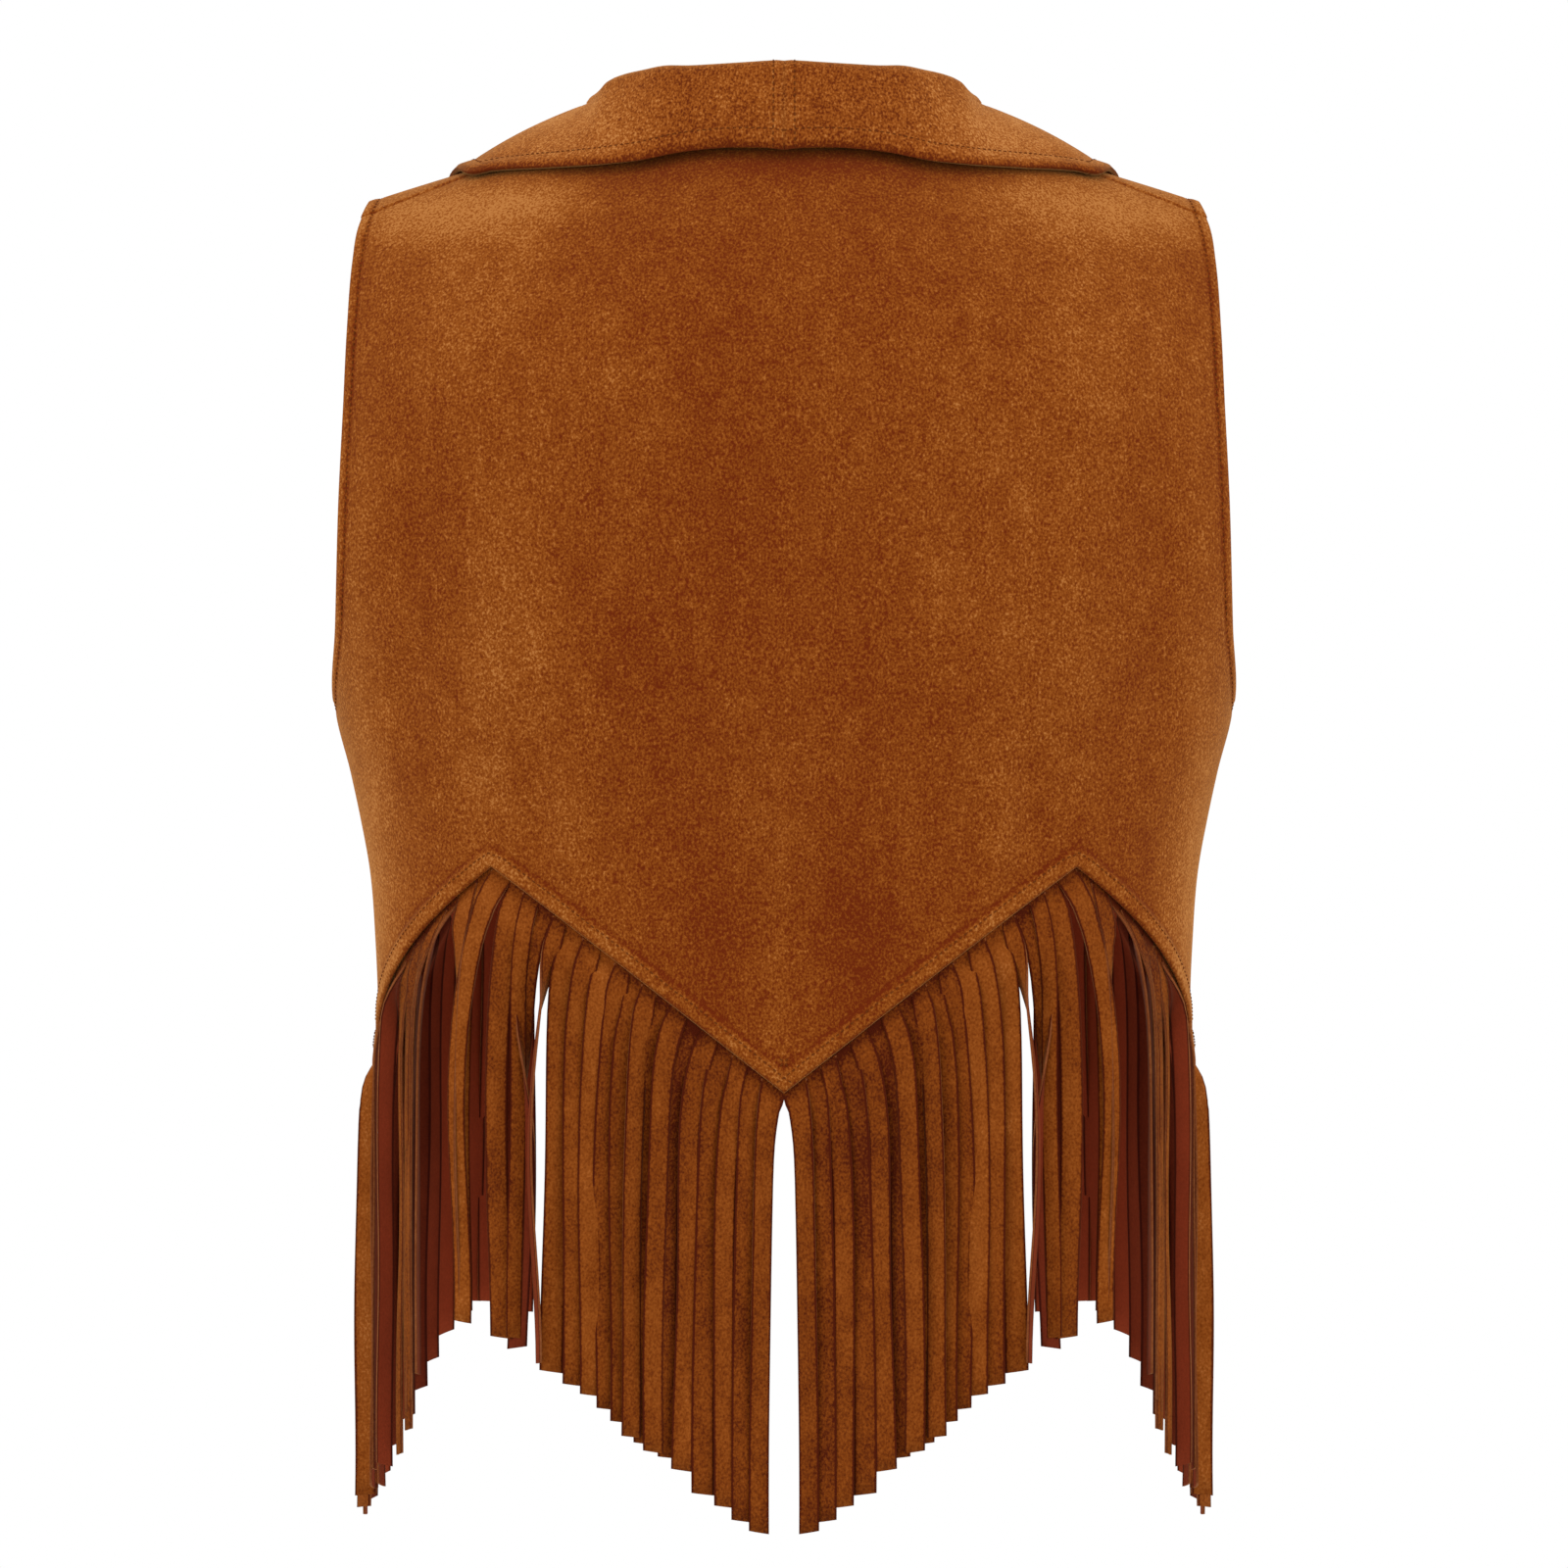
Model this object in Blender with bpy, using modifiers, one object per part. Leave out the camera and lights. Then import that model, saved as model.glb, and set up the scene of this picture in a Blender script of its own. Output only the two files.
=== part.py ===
# A fringed western vest, worn with no wearer: back, two fronts, a collar in two halves and three fringes.
# Metres. X runs across, +Y is the back, -Y the open front and Z is up. The origin lies between the two neck
# points, at the height where the shoulders carry the vest. The vest is the same on both sides of X = 0.

import math

import bpy
import numpy as np

# Cloth
PANEL_WALL = 0.002
COLLAR_WALL = 0.0022
FRINGE_WALL = 0.0016
SEAM_GAP = 0.0005
SHOULDER_GAP = 0.0012
COLLAR_GAP = 0.001
COLLAR_SEAM_GAP = 0.0009

# Shoulders and neck
NECK_X = 0.075
NECK_Z = -0.003
SHOULDER_X = 0.1775
SHOULDER_Z = -0.033
NAPE_WIDTH = 0.025  # how broadly the two shoulder slopes round into each other at centre back
SHOULDER_SLOPE = (NECK_Z - SHOULDER_Z) / (math.hypot(SHOULDER_X, NAPE_WIDTH) - math.hypot(NECK_X, NAPE_WIDTH))
SHOULDER_SEAM_BACK = 0.006  # the shoulder seam lies this far behind the top of the shoulder
NECK_BACK = 0.062  # depth of the neckline at centre back
ROUNDING_HEIGHT = 0.14  # under the shoulder line the panels round in over this height
ROUNDING_POWER = 2.2
SECTION_POWER = 2.4  # of the superellipse that each level section follows
LEAST_DEPTH = 0.004  # kept in the sums where a section closes

# Armholes
UNDERARM_Z = -0.250
ARM_CURVE_HEIGHT = 0.09
ARM_DEPTH_SHARE = 0.52  # of the body's depth, at the armhole's deepest point

# Hem
HEM_CENTRE_Z = -0.411
HEM_PEAK_Z = -0.317
HEM_PEAK_SHARE = 0.69  # of the half width
HEM_SIDE_Z = -0.392
FRONT_EDGE_TOP_X = NECK_X
FRONT_EDGE_HEM_X = 0.108
FRONT_EDGE_HEM_Z = -0.326
FRONT_FLARE = 0.004
FRONT_FLARE_FROM_Z = -0.330

# Places of the rows and columns of each panel's points
ROWS_TO_UNDERARM = 6
ROWS_OVER_UNDERARM = np.array([0.002, 0.007, 0.016, 0.030, 0.050])
ROWS_OF_TURN = (0.14, 0.28, 0.42, 0.56, 0.68, 0.79, 0.90, 1.0)
BACK_COLUMNS_TO_NECK = 5
BACK_COLUMNS_TO_PEAK = 4
BACK_COLUMNS_TO_SIDE = 5
BACK_LAST_COLUMNS = (0.9, 0.97, 1.0)
FRONT_COLUMNS = np.array([0.0, 0.15, 0.30, 0.46, 0.62, 0.78, 0.88, 0.96, 1.0])
LEVEL_ROUNDS = 6  # rounds of working out a height from the shoulder line over it

# Fringe
FRINGE_BAND = 0.004
STRIP_PITCH = 0.008
STRIP_GAP = 0.0007
HEM_GAP = 0.0008
STRIP_ROWS = np.array([0.0, 0.06, 0.16, 0.34, 0.64, 1.0])
LEAN_LENGTH = 0.022  # a strip has taken up two thirds of its lean, or of its swing, after this fall
SWING_LENGTH = 0.022
HEM_SAMPLES = 400
HEM_PROBE = 0.001

# Level sections from the hem up: half width at the side seam, or at the back armhole edge above the
# underarm; half width at the front armhole edge; depth of the back and of the front.
SECTION_COLUMNS = ("z", "side", "front_side", "back", "front")
SECTIONS = (
    (-0.440, 0.1760, 0.1760, 0.0930, 0.1040),
    (-0.410, 0.1748, 0.1748, 0.0940, 0.1055),
    (-0.378, 0.1738, 0.1738, 0.0955, 0.1075),
    (-0.350, 0.1748, 0.1748, 0.0970, 0.1095),
    (-0.317, 0.1775, 0.1775, 0.0995, 0.1125),
    (-0.297, 0.1812, 0.1812, 0.1010, 0.1145),
    (-0.277, 0.1855, 0.1855, 0.1025, 0.1160),
    (-0.250, 0.1920, 0.1920, 0.1045, 0.1175),
    (-0.216, 0.1900, 0.1790, 0.1058, 0.1175),
    (-0.157, 0.1878, 0.1670, 0.1060, 0.1140),
    (-0.124, 0.1860, 0.1650, 0.1050, 0.1100),
    (-0.090, 0.1845, 0.1660, 0.1025, 0.1050),
    (-0.060, 0.1825, 0.1700, 0.0990, 0.1000),
    (-0.046, 0.1808, 0.1730, 0.0975, 0.0980),
    (-0.033, 0.1775, 0.1775, 0.0965, 0.0965),
)

# The front hem, from the front edge (0) to the side seam (1).
FRONT_HEM_COLUMNS = ("share", "z")
FRONT_HEM = (
    (0.00, FRONT_EDGE_HEM_Z),
    (0.30, -0.318),
    (0.78, -0.410),
    (1.00, HEM_SIDE_Z),
)

# How the fringe hangs, by distance round the hem from centre back to the front edge (0 to 1): how long a
# strip is, how far it leans sideways as it falls, and how far it swings out from the body.
HANG_COLUMNS = ("share", "length", "lean", "swing")
HANG = (
    (0.00, 0.182, 0.0075, 0.0000),
    (0.32, 0.181, 0.0080, 0.0005),
    (0.56, 0.187, 0.0036, 0.0030),
    (0.66, 0.187, 0.0030, 0.0065),
    (0.80, 0.187, 0.0020, 0.0040),
    (1.00, 0.187, 0.0010, 0.0010),
)

# Collar stations from centre back (0) over the neck point (1) down the front edge to its end (2).
# The fold is given from the seam. The outer edge is given by x, by how far it lies under the shoulder line,
# behind (+) or before (-) the shoulder, and by how far it stands off the body.
COLLAR_COLUMNS = ("at", "fold_x", "fold_y", "fold_z", "edge_x", "edge_under", "edge_clear")
COLLAR = (
    (0.00, 0.0000, -0.0060, 0.0335, 0.0003, 0.0288, 0.0065),
    (0.30, 0.0000, -0.0060, 0.0305, 0.0400, 0.0223, 0.0065),
    (0.60, 0.0005, -0.0055, 0.0255, 0.0680, 0.0195, 0.0060),
    (0.85, -0.0005, -0.0030, 0.0160, 0.1020, 0.0109, 0.0040),
    (0.93, -0.0005, -0.0020, 0.0145, 0.1230, 0.0059, 0.0020),
    (0.97, -0.0005, -0.0015, 0.0140, 0.1345, 0.0037, 0.0010),
    (1.00, -0.0005, -0.0010, 0.0140, 0.1395, 0.0000, 0.0000),
    (1.08, -0.0010, -0.0045, 0.0130, 0.1480, -0.0170, 0.0030),
    (1.20, -0.0040, -0.0060, 0.0090, 0.1525, -0.0590, 0.0040),
    (1.40, -0.0062, -0.0050, 0.0030, 0.1520, -0.1145, 0.0040),
    (1.60, -0.0066, -0.0042, 0.0010, 0.1450, -0.1715, 0.0040),
    (1.80, -0.0064, -0.0040, 0.0000, 0.1320, -0.2303, 0.0040),
    (1.93, -0.0060, -0.0038, 0.0000, 0.1180, -0.2724, 0.0040),
    (2.00, -0.0056, -0.0036, 0.0000, 0.1085, -0.2932, 0.0040),
)
STATIONS_OVER_SHOULDER = (0.87, 0.92, 0.96, 0.985, 1.01, 1.04, 1.08, 1.13, 1.21)
COLLAR_END_Z = -0.312
COLLAR_FOLD_RADIUS = 0.0042
LAPEL_TURN = 0.8  # of a right angle, from facing sideways at the neck point to facing the front
LAPEL_TURN_OVER = 0.25
COLLAR_CLEARANCE = 0.0031  # from the body to the collar's outer face
COLLAR_STATIONS = np.concatenate([np.linspace(0, 0.8, 7), STATIONS_OVER_SHOULDER, np.linspace(1.3, 2, 8)])
COLLAR_STAND_ROWS = 2
COLLAR_FOLD_TURNS = np.linspace(-math.pi / 2, math.pi / 2, 5)
COLLAR_FALL_SHARES = (0.25, 0.5, 0.75, 1.0)
LIFT_ROUNDS = 4
LIFT_LIMIT = 0.004
LIFT_PROBE = 0.0005

SUEDE = (0.262, 0.068, 0.009)
FRINGE_SUEDE = (0.230, 0.057, 0.009)
SUEDE_ROUGHNESS = 0.95


def column(rows, names, name):
    """One named column of a table, as an array."""
    return np.array([row[names.index(name)] for row in rows], float)


def smooth(at, knots, values):
    """A cubic curve through the values at the knots, flat beyond its ends."""
    slopes = np.gradient(values, knots)
    at = np.clip(at, knots[0], knots[-1])
    i = np.clip(np.searchsorted(knots, at) - 1, 0, len(knots) - 2)
    span = knots[i + 1] - knots[i]
    t = (at - knots[i]) / span
    return (
        (2 * t**3 - 3 * t**2 + 1) * values[i]
        + (t**3 - 2 * t**2 + t) * span * slopes[i]
        + (3 * t**2 - 2 * t**3) * values[i + 1]
        + (t**3 - t**2) * span * slopes[i + 1]
    )


def section(name, z):
    """A measure of the level section at height z."""
    return smooth(z, column(SECTIONS, SECTION_COLUMNS, "z"), column(SECTIONS, SECTION_COLUMNS, name))


def shoulder_line(x):
    """Height of the top of the shoulders at x, carried on over the neck."""
    return NECK_Z - SHOULDER_SLOPE * (np.hypot(x, NAPE_WIDTH) - math.hypot(NECK_X, NAPE_WIDTH))


def full_depth(x, z, face):
    """Depth of the level superellipse at (x, z), before the shoulders round it in."""
    side = "side" if face == "back" else "front_side"
    risen = np.clip((z - UNDERARM_Z) / ARM_CURVE_HEIGHT, 0, 1)
    share = ARM_DEPTH_SHARE * np.sqrt(1 - (1 - risen) ** 2)
    half_width = section(side, z) / (1 - share**SECTION_POWER) ** (1 / SECTION_POWER)
    across = np.clip(np.abs(x) / half_width, 0, 1)
    return section(face, z) * (1 - across**SECTION_POWER) ** (1 / SECTION_POWER)


def rounding(x, z):
    """Share of the full depth that is left at (x, z): 1 well under the shoulder line and 0 on it."""
    under = np.clip((shoulder_line(x) - z) / ROUNDING_HEIGHT, 0, 1)
    return (1 - (1 - under) ** ROUNDING_POWER) ** (1 / ROUNDING_POWER)


def body_depth(x, z, face):
    return full_depth(x, z, face) * rounding(x, z)


def back_across(share, z):
    """x of the back panel, from centre back (0) to the side seam or armhole edge (1)."""
    return section("side", z) * np.sin(share * math.pi / 2)


def front_edge_x(z):
    return np.interp(z, (FRONT_EDGE_HEM_Z, NECK_Z), (FRONT_EDGE_HEM_X, FRONT_EDGE_TOP_X))


def front_across(share, z):
    """x of a front panel, from the front edge (0) to the side seam or armhole edge (1)."""
    inner = front_edge_x(z)
    return inner + (section("front_side", z) - inner) * np.sin(share * math.pi / 2)


def back_hem(share):
    """Straight from the centre point up to the peak, then straight round the side to the side seam."""
    peak = math.asin(HEM_PEAK_SHARE) * 2 / math.pi
    rising = np.sin(share * math.pi / 2) / HEM_PEAK_SHARE
    falling = (share - peak) / (1 - peak)
    return np.where(
        share < peak,
        HEM_CENTRE_Z + (HEM_PEAK_Z - HEM_CENTRE_Z) * rising,
        HEM_PEAK_Z + (HEM_SIDE_Z - HEM_PEAK_Z) * falling,
    )


def front_hem(share):
    return np.interp(
        share,
        column(FRONT_HEM, FRONT_HEM_COLUMNS, "share"),
        column(FRONT_HEM, FRONT_HEM_COLUMNS, "z"),
    )


def front_flare(share, z):
    """The front swings out a little towards its hem, most near the point of the hem."""
    drop = np.clip((FRONT_FLARE_FROM_Z - z) / (FRONT_FLARE_FROM_Z - HEM_SIDE_Z), 0, 1.3)
    return FRONT_FLARE * drop**2 * np.sin(np.clip(share, 0, 1) ** 2 * math.pi)


def top_depth(x, face):
    """How far behind the shoulder line a panel's top edge lies: the shoulder seam, or the neckline."""
    half_gap = SHOULDER_GAP / 2 if face == "back" else -SHOULDER_GAP / 2
    seam = SHOULDER_SEAM_BACK + half_gap
    if face == "front":
        return np.full_like(x, seam)
    return np.maximum(seam, NECK_BACK * np.sqrt(np.clip(1 - (x / NECK_X) ** 2, 0, 1)))


def lower_rows():
    """Shares of the way from the hem to where the rounding starts; one row meets the underarm."""
    reach = shoulder_line(SHOULDER_X) - ROUNDING_HEIGHT - HEM_SIDE_Z
    underarm = (UNDERARM_Z - HEM_SIDE_Z) / reach
    under = np.linspace(0, underarm, ROWS_TO_UNDERARM)
    return np.concatenate([under, underarm + ROWS_OVER_UNDERARM / reach, [1.0]])


def panel_surface(face, shares):
    """Rows of points of a panel's outer face, from its hem to its top edge, one point for each share."""
    across = back_across if face == "back" else front_across
    hem = (back_hem if face == "back" else front_hem)(shares)
    sign = 1 if face == "back" else -1
    power = 2 / ROUNDING_POWER

    start = np.full_like(shares, SHOULDER_Z - ROUNDING_HEIGHT)
    for _ in range(LEVEL_ROUNDS):
        start = shoulder_line(across(shares, start)) - ROUNDING_HEIGHT
    rows = []
    for share in lower_rows():
        z = hem + (start - hem) * share
        x = across(shares, z)
        y = sign * (full_depth(x, z, face) + SEAM_GAP / 2)
        if face == "front":
            x = x + front_flare(shares, z)
        rows.append((x, y, z))

    top_x = across(shares, np.full_like(shares, SHOULDER_Z))
    top_z = shoulder_line(top_x)
    edge = np.clip(top_depth(top_x, face) / full_depth(top_x, top_z, "back"), 0, 1)
    end = np.arcsin(edge ** (1 / power)) * sign
    for share in ROWS_OF_TURN:
        turn = math.pi / 2 + (end - math.pi / 2) * share
        drop = ROUNDING_HEIGHT * (1 - np.cos(turn) ** power)
        z = shoulder_line(top_x) - drop
        for _ in range(LEVEL_ROUNDS):
            z = shoulder_line(across(shares, z)) - drop
        x = across(shares, z)
        own = full_depth(x, z, face) + SEAM_GAP / 2
        behind = full_depth(x, z, "back")
        swing = np.abs(np.sin(turn)) ** power
        y = np.where(turn > 0, sign * own * swing, behind * swing)
        rows.append((x, y, z))
    return np.array(rows).transpose(0, 2, 1)


def back_shares():
    """Shares across half of the back; one column meets the neck point and one the hem's peak."""
    neck = math.asin(NECK_X / SHOULDER_X) * 2 / math.pi
    peak = math.asin(HEM_PEAK_SHARE) * 2 / math.pi
    to_neck = np.linspace(0, neck, BACK_COLUMNS_TO_NECK)[:-1]
    to_peak = np.linspace(neck, peak, BACK_COLUMNS_TO_PEAK)[:-1]
    to_side = np.linspace(peak, BACK_LAST_COLUMNS[0], BACK_COLUMNS_TO_SIDE)
    return np.concatenate([to_neck, to_peak, to_side, BACK_LAST_COLUMNS[1:]])


def outside(points):
    """Roughly how far points lie outside the body's surface."""
    x, y, z = points[..., 0], points[..., 1], points[..., 2]
    depth = np.where(y >= 0, full_depth(x, z, "back"), full_depth(x, z, "front"))
    depth = np.maximum(depth, LEAST_DEPTH)
    rise = np.clip(1 - (shoulder_line(x) - z) / ROUNDING_HEIGHT, 0, None)
    return ((np.abs(y) / depth) ** ROUNDING_POWER + rise**ROUNDING_POWER) ** (1 / ROUNDING_POWER) - 1


def lifted(points, clearance):
    """The points moved out along the body's normal until each clears it."""
    step = LIFT_PROBE
    for _ in range(LIFT_ROUNDS):
        level = outside(points)
        slope = np.stack([(outside(points + step * axis) - level) / step for axis in np.eye(3)], axis=-1)
        size = np.maximum(np.linalg.norm(slope, axis=-1), LIFT_PROBE)
        lack = np.clip(clearance - level / size, 0, LIFT_LIMIT)
        points = points + slope / size[..., None] * lack[..., None]
    return points


def seam_point(at):
    """Where the collar is sewn on: 0 is centre back, 1 the neck point and 2 the collar's lower end."""
    if at <= 1:
        x = NECK_X * math.sin(at * math.pi / 2)
        y = NECK_BACK * math.cos(at * math.pi / 2)
        share = min(y / float(full_depth(x, shoulder_line(x), "back")), 1.0)
        turn = math.asin(share ** (ROUNDING_POWER / 2))
        z = shoulder_line(x) - ROUNDING_HEIGHT * (1 - math.cos(turn) ** (2 / ROUNDING_POWER))
        return np.array([x, y, z])
    turn = (at - 1) * math.pi / 2
    z = NECK_Z + (COLLAR_END_Z - NECK_Z) * (1 - math.cos(turn))
    x = float(front_edge_x(z))
    return np.array([x, -float(body_depth(x, z, "front")), z])


def collar_edge(x, root, clear):
    """The collar's outer edge, from x and the signed square root of its height under the shoulder line."""
    z = shoulder_line(x) - root**2
    face = "back" if root > 0 else "front"
    return np.array([x, math.copysign(float(body_depth(x, z, face)) + clear, root), z])


def collar_profile(at, seam, fold, edge):
    """Points from the seam up the stand, half round the fold and on to the outer edge."""
    facing = math.pi / 2 * (at if at <= 1 else 1 + LAPEL_TURN * min((at - 1) / LAPEL_TURN_OVER, 1))
    height = np.linalg.norm(fold - seam)
    up = (fold - seam) / height
    over = np.array([math.sin(facing), math.cos(facing), 0.0])
    over = over - np.dot(over, up) * up
    over = over / np.linalg.norm(over)
    radius = COLLAR_FOLD_RADIUS
    centre = seam + (height - radius) * up + radius * over
    points = [seam, seam + up * (height - radius) / 2]
    for turn in COLLAR_FOLD_TURNS:
        points.append(centre + radius * (math.cos(turn) * up + math.sin(turn) * over))
    start = points[-1]
    for share in COLLAR_FALL_SHARES:
        points.append(start + (edge - start) * share)
    return np.array(points)


def collar_surface():
    """Rows of points of the left collar's outer face, one row for each station from centre back down."""
    places = column(COLLAR, COLLAR_COLUMNS, "at")
    values = {name: column(COLLAR, COLLAR_COLUMNS, name) for name in COLLAR_COLUMNS[1:]}
    under = values["edge_under"]
    values["edge_root"] = np.sign(under) * np.sqrt(np.abs(under))
    rows = []
    for at in COLLAR_STATIONS:
        here = {name: float(smooth(at, places, value)) for name, value in values.items()}
        seam = seam_point(at)
        fold = seam + np.array([here["fold_x"], here["fold_y"], here["fold_z"]])
        edge = collar_edge(here["edge_x"], here["edge_root"], here["edge_clear"])
        start = seam + (fold - seam) / np.linalg.norm(fold - seam) * COLLAR_SEAM_GAP
        row = collar_profile(at, start, fold, edge)
        row[COLLAR_STAND_ROWS + 1 :] = lifted(row[COLLAR_STAND_ROWS + 1 :], COLLAR_CLEARANCE)
        row[:, 0] = np.maximum(row[:, 0], COLLAR_GAP / 2)
        rows.append(row)
    return np.array(rows)


def hem_curve():
    """The outer line of the hem, from centre back round the side to the front edge, and its corners' places."""
    shares = np.linspace(0, 1, HEM_SAMPLES)
    z = back_hem(shares)
    x = back_across(shares, z)
    back = np.stack([x, full_depth(x, z, "back"), z], axis=1)
    shares = np.linspace(1, 0, HEM_SAMPLES)
    z = front_hem(shares)
    x = front_across(shares, z)
    y = -full_depth(x, z, "front")
    front = np.stack([x + front_flare(shares, z), y, z], axis=1)
    line = np.concatenate([back, front[1:]])
    steps = np.hypot(*np.diff(line[:, :2], axis=0).T)
    along = np.concatenate([[0], np.cumsum(steps)])
    peak = along[np.argmax(back[:, 2])]
    side_seam = along[len(back) - 1]
    knots = column(FRONT_HEM, FRONT_HEM_COLUMNS, "share")[-2:0:-1]
    turns = [along[len(back) - 1 + round((1 - knot) * (HEM_SAMPLES - 1))] for knot in knots]
    return along, line, [0.0, peak, side_seam, *turns, along[-1]]


def strip_places(corners):
    """Middles and widths of the strips between the hem's corners, so that no strip crosses a corner."""
    middles, widths = [], []
    for start, end in zip(corners[:-1], corners[1:]):
        count = round((end - start) / STRIP_PITCH)
        pitch = (end - start) / count
        middles.extend(start + pitch * (np.arange(count) + 0.5))
        widths.extend([pitch - STRIP_GAP] * count)
    return np.array(middles), np.array(widths)


def fringe_points(corners, along, line):
    """Points of a fringe's outer face: by strip, by side of it and from the hem down, the band's two first."""
    middles, widths = strip_places(corners)
    share = middles / along[-1]
    places = column(HANG, HANG_COLUMNS, "share")
    length = smooth(share, places, column(HANG, HANG_COLUMNS, "length"))
    lean = smooth(share, places, column(HANG, HANG_COLUMNS, "lean"))
    swing = smooth(share, places, column(HANG, HANG_COLUMNS, "swing"))

    def hem_at(s):
        return np.array([np.interp(s, along, line[:, k]) for k in range(3)])

    def place(s, z, out):
        run = hem_at(s + HEM_PROBE) - hem_at(s - HEM_PROBE)
        tangent = run[:2] / np.linalg.norm(run[:2])
        x, y, _ = hem_at(s)
        return np.array([x - tangent[1] * out, y + tangent[0] * out, z])

    strips = []
    for middle, width, fall, sideways, outwards in zip(middles, widths, length, lean, swing):
        foot = hem_at(middle)[2] - FRINGE_BAND - fall
        sides = []
        for edge in (middle - width / 2, middle + width / 2):
            slope = (hem_at(edge + HEM_PROBE) - hem_at(edge - HEM_PROBE))[2] / (2 * HEM_PROBE)
            top = hem_at(edge)[2] - HEM_GAP * math.hypot(1, slope)
            root = top - FRINGE_BAND
            points = [place(edge, top, 0.0)]
            for z in root + (foot - root) * STRIP_ROWS:
                fallen = root - z
                moved = sideways * (1 - math.exp(-fallen / LEAN_LENGTH))
                out = outwards * (1 - math.exp(-fallen / SWING_LENGTH))
                points.append(place(edge + moved, z, out))
            sides.append(points)
        strips.append(sides)
    return np.array(strips)


def mesh_object(name, points, faces, wall, material, collection):
    """An open surface of outer points, given its wall inwards."""
    mesh = bpy.data.meshes.new(name)
    mesh.from_pydata([tuple(point) for point in points], [], faces)
    mesh.validate()
    mesh.shade_smooth()
    mesh.materials.append(material)
    piece = bpy.data.objects.new(name, mesh)
    collection.objects.link(piece)
    solidify = piece.modifiers.new("wall", "SOLIDIFY")
    solidify.thickness = wall
    solidify.offset = -1
    solidify.use_even_offset = True
    solidify.use_quality_normals = True
    return piece


def grid_faces(rows, columns, flip):
    faces = []
    for i in range(rows - 1):
        for j in range(columns - 1):
            a = i * columns + j
            face = (a, a + 1, a + columns + 1, a + columns)
            faces.append(face[::-1] if flip else face)
    return faces


def grid_object(name, surface, wall, material, collection, flip):
    rows, columns = surface.shape[:2]
    faces = grid_faces(rows, columns, flip)
    return mesh_object(name, surface.reshape(-1, 3), faces, wall, material, collection)


def mirrored(surface):
    return surface * np.array([-1.0, 1.0, 1.0])


def fringe_object(name, strips, material, collection, flip):
    """The strips hang from a band that runs along their roots; between two strips only the band goes on."""
    count, _, rows = strips.shape[:3]
    points = strips.reshape(-1, 3)

    def index(strip, side, row):
        return (strip * 2 + side) * rows + row

    faces = []
    for strip in range(count):
        for row in range(rows - 1):
            faces.append(
                (index(strip, 0, row), index(strip, 0, row + 1), index(strip, 1, row + 1), index(strip, 1, row))
            )
        if strip < count - 1:
            faces.append(
                (index(strip, 1, 0), index(strip, 1, 1), index(strip + 1, 0, 1), index(strip + 1, 0, 0))
            )
    if flip:
        faces = [face[::-1] for face in faces]
    return mesh_object(name, points, faces, FRINGE_WALL, material, collection)


def suede(name, colour):
    material = bpy.data.materials.new(name)
    material.use_nodes = True
    shader = material.node_tree.nodes["Principled BSDF"]
    shader.inputs["Base Color"].default_value = (*colour, 1)
    shader.inputs["Roughness"].default_value = SUEDE_ROUGHNESS
    shader.inputs["Metallic"].default_value = 0.0
    return material


def back_panel(collection):
    half = panel_surface("back", back_shares())
    whole = np.concatenate([mirrored(half)[:, :0:-1], half], axis=1)
    grid_object("back_panel", whole, PANEL_WALL, suede("back suede", SUEDE), collection, True)


def front_panels(collection):
    left = panel_surface("front", FRONT_COLUMNS)
    for name, surface, flip in (("front_left", left, False), ("front_right", mirrored(left), True)):
        grid_object(name, surface, PANEL_WALL, suede(f"{name} suede", SUEDE), collection, flip)


def collar_halves(collection):
    left = collar_surface()
    for name, surface, flip in (("collar_left", left, False), ("collar_right", mirrored(left), True)):
        grid_object(name, surface, COLLAR_WALL, suede(f"{name} suede", SUEDE), collection, flip)


def fringes(collection):
    along, line, corners = hem_curve()
    half = fringe_points(corners[:3], along, line)
    other = mirrored(half)[::-1, ::-1]
    material = suede("back fringe suede", FRINGE_SUEDE)
    fringe_object("fringe_back", np.concatenate([other, half]), material, collection, False)
    left = fringe_points(corners[2:], along, line)
    for side, strips, flip in (("left", left, False), ("right", mirrored(left), True)):
        name = f"fringe_front_{side}"
        fringe_object(name, strips, suede(f"{name} suede", FRINGE_SUEDE), collection, flip)


def main():
    for stale in list(bpy.data.objects):
        bpy.data.objects.remove(stale)
    collection = bpy.data.collections.new("western_vest")
    bpy.context.scene.collection.children.link(collection)
    back_panel(collection)
    front_panels(collection)
    collar_halves(collection)
    fringes(collection)


main()
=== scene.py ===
import math

import bpy
import numpy as np
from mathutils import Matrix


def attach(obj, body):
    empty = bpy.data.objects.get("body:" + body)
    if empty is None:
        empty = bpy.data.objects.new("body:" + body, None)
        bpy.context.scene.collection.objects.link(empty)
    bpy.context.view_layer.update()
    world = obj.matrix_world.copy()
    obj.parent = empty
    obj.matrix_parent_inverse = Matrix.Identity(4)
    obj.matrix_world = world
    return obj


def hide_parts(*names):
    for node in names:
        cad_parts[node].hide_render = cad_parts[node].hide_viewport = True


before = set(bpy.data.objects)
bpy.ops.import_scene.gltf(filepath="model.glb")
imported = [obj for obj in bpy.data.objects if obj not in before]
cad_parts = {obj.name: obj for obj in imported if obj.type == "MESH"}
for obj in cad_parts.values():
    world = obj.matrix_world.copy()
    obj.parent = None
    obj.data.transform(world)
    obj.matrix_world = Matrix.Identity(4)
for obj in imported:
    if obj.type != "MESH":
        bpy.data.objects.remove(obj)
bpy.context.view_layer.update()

# A fringed western vest of suede cloth, filled out as when worn. Metres; +Y is the back, +Z up.
# Every piece is a grid of points, worked out on the form that the solids have.

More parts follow.
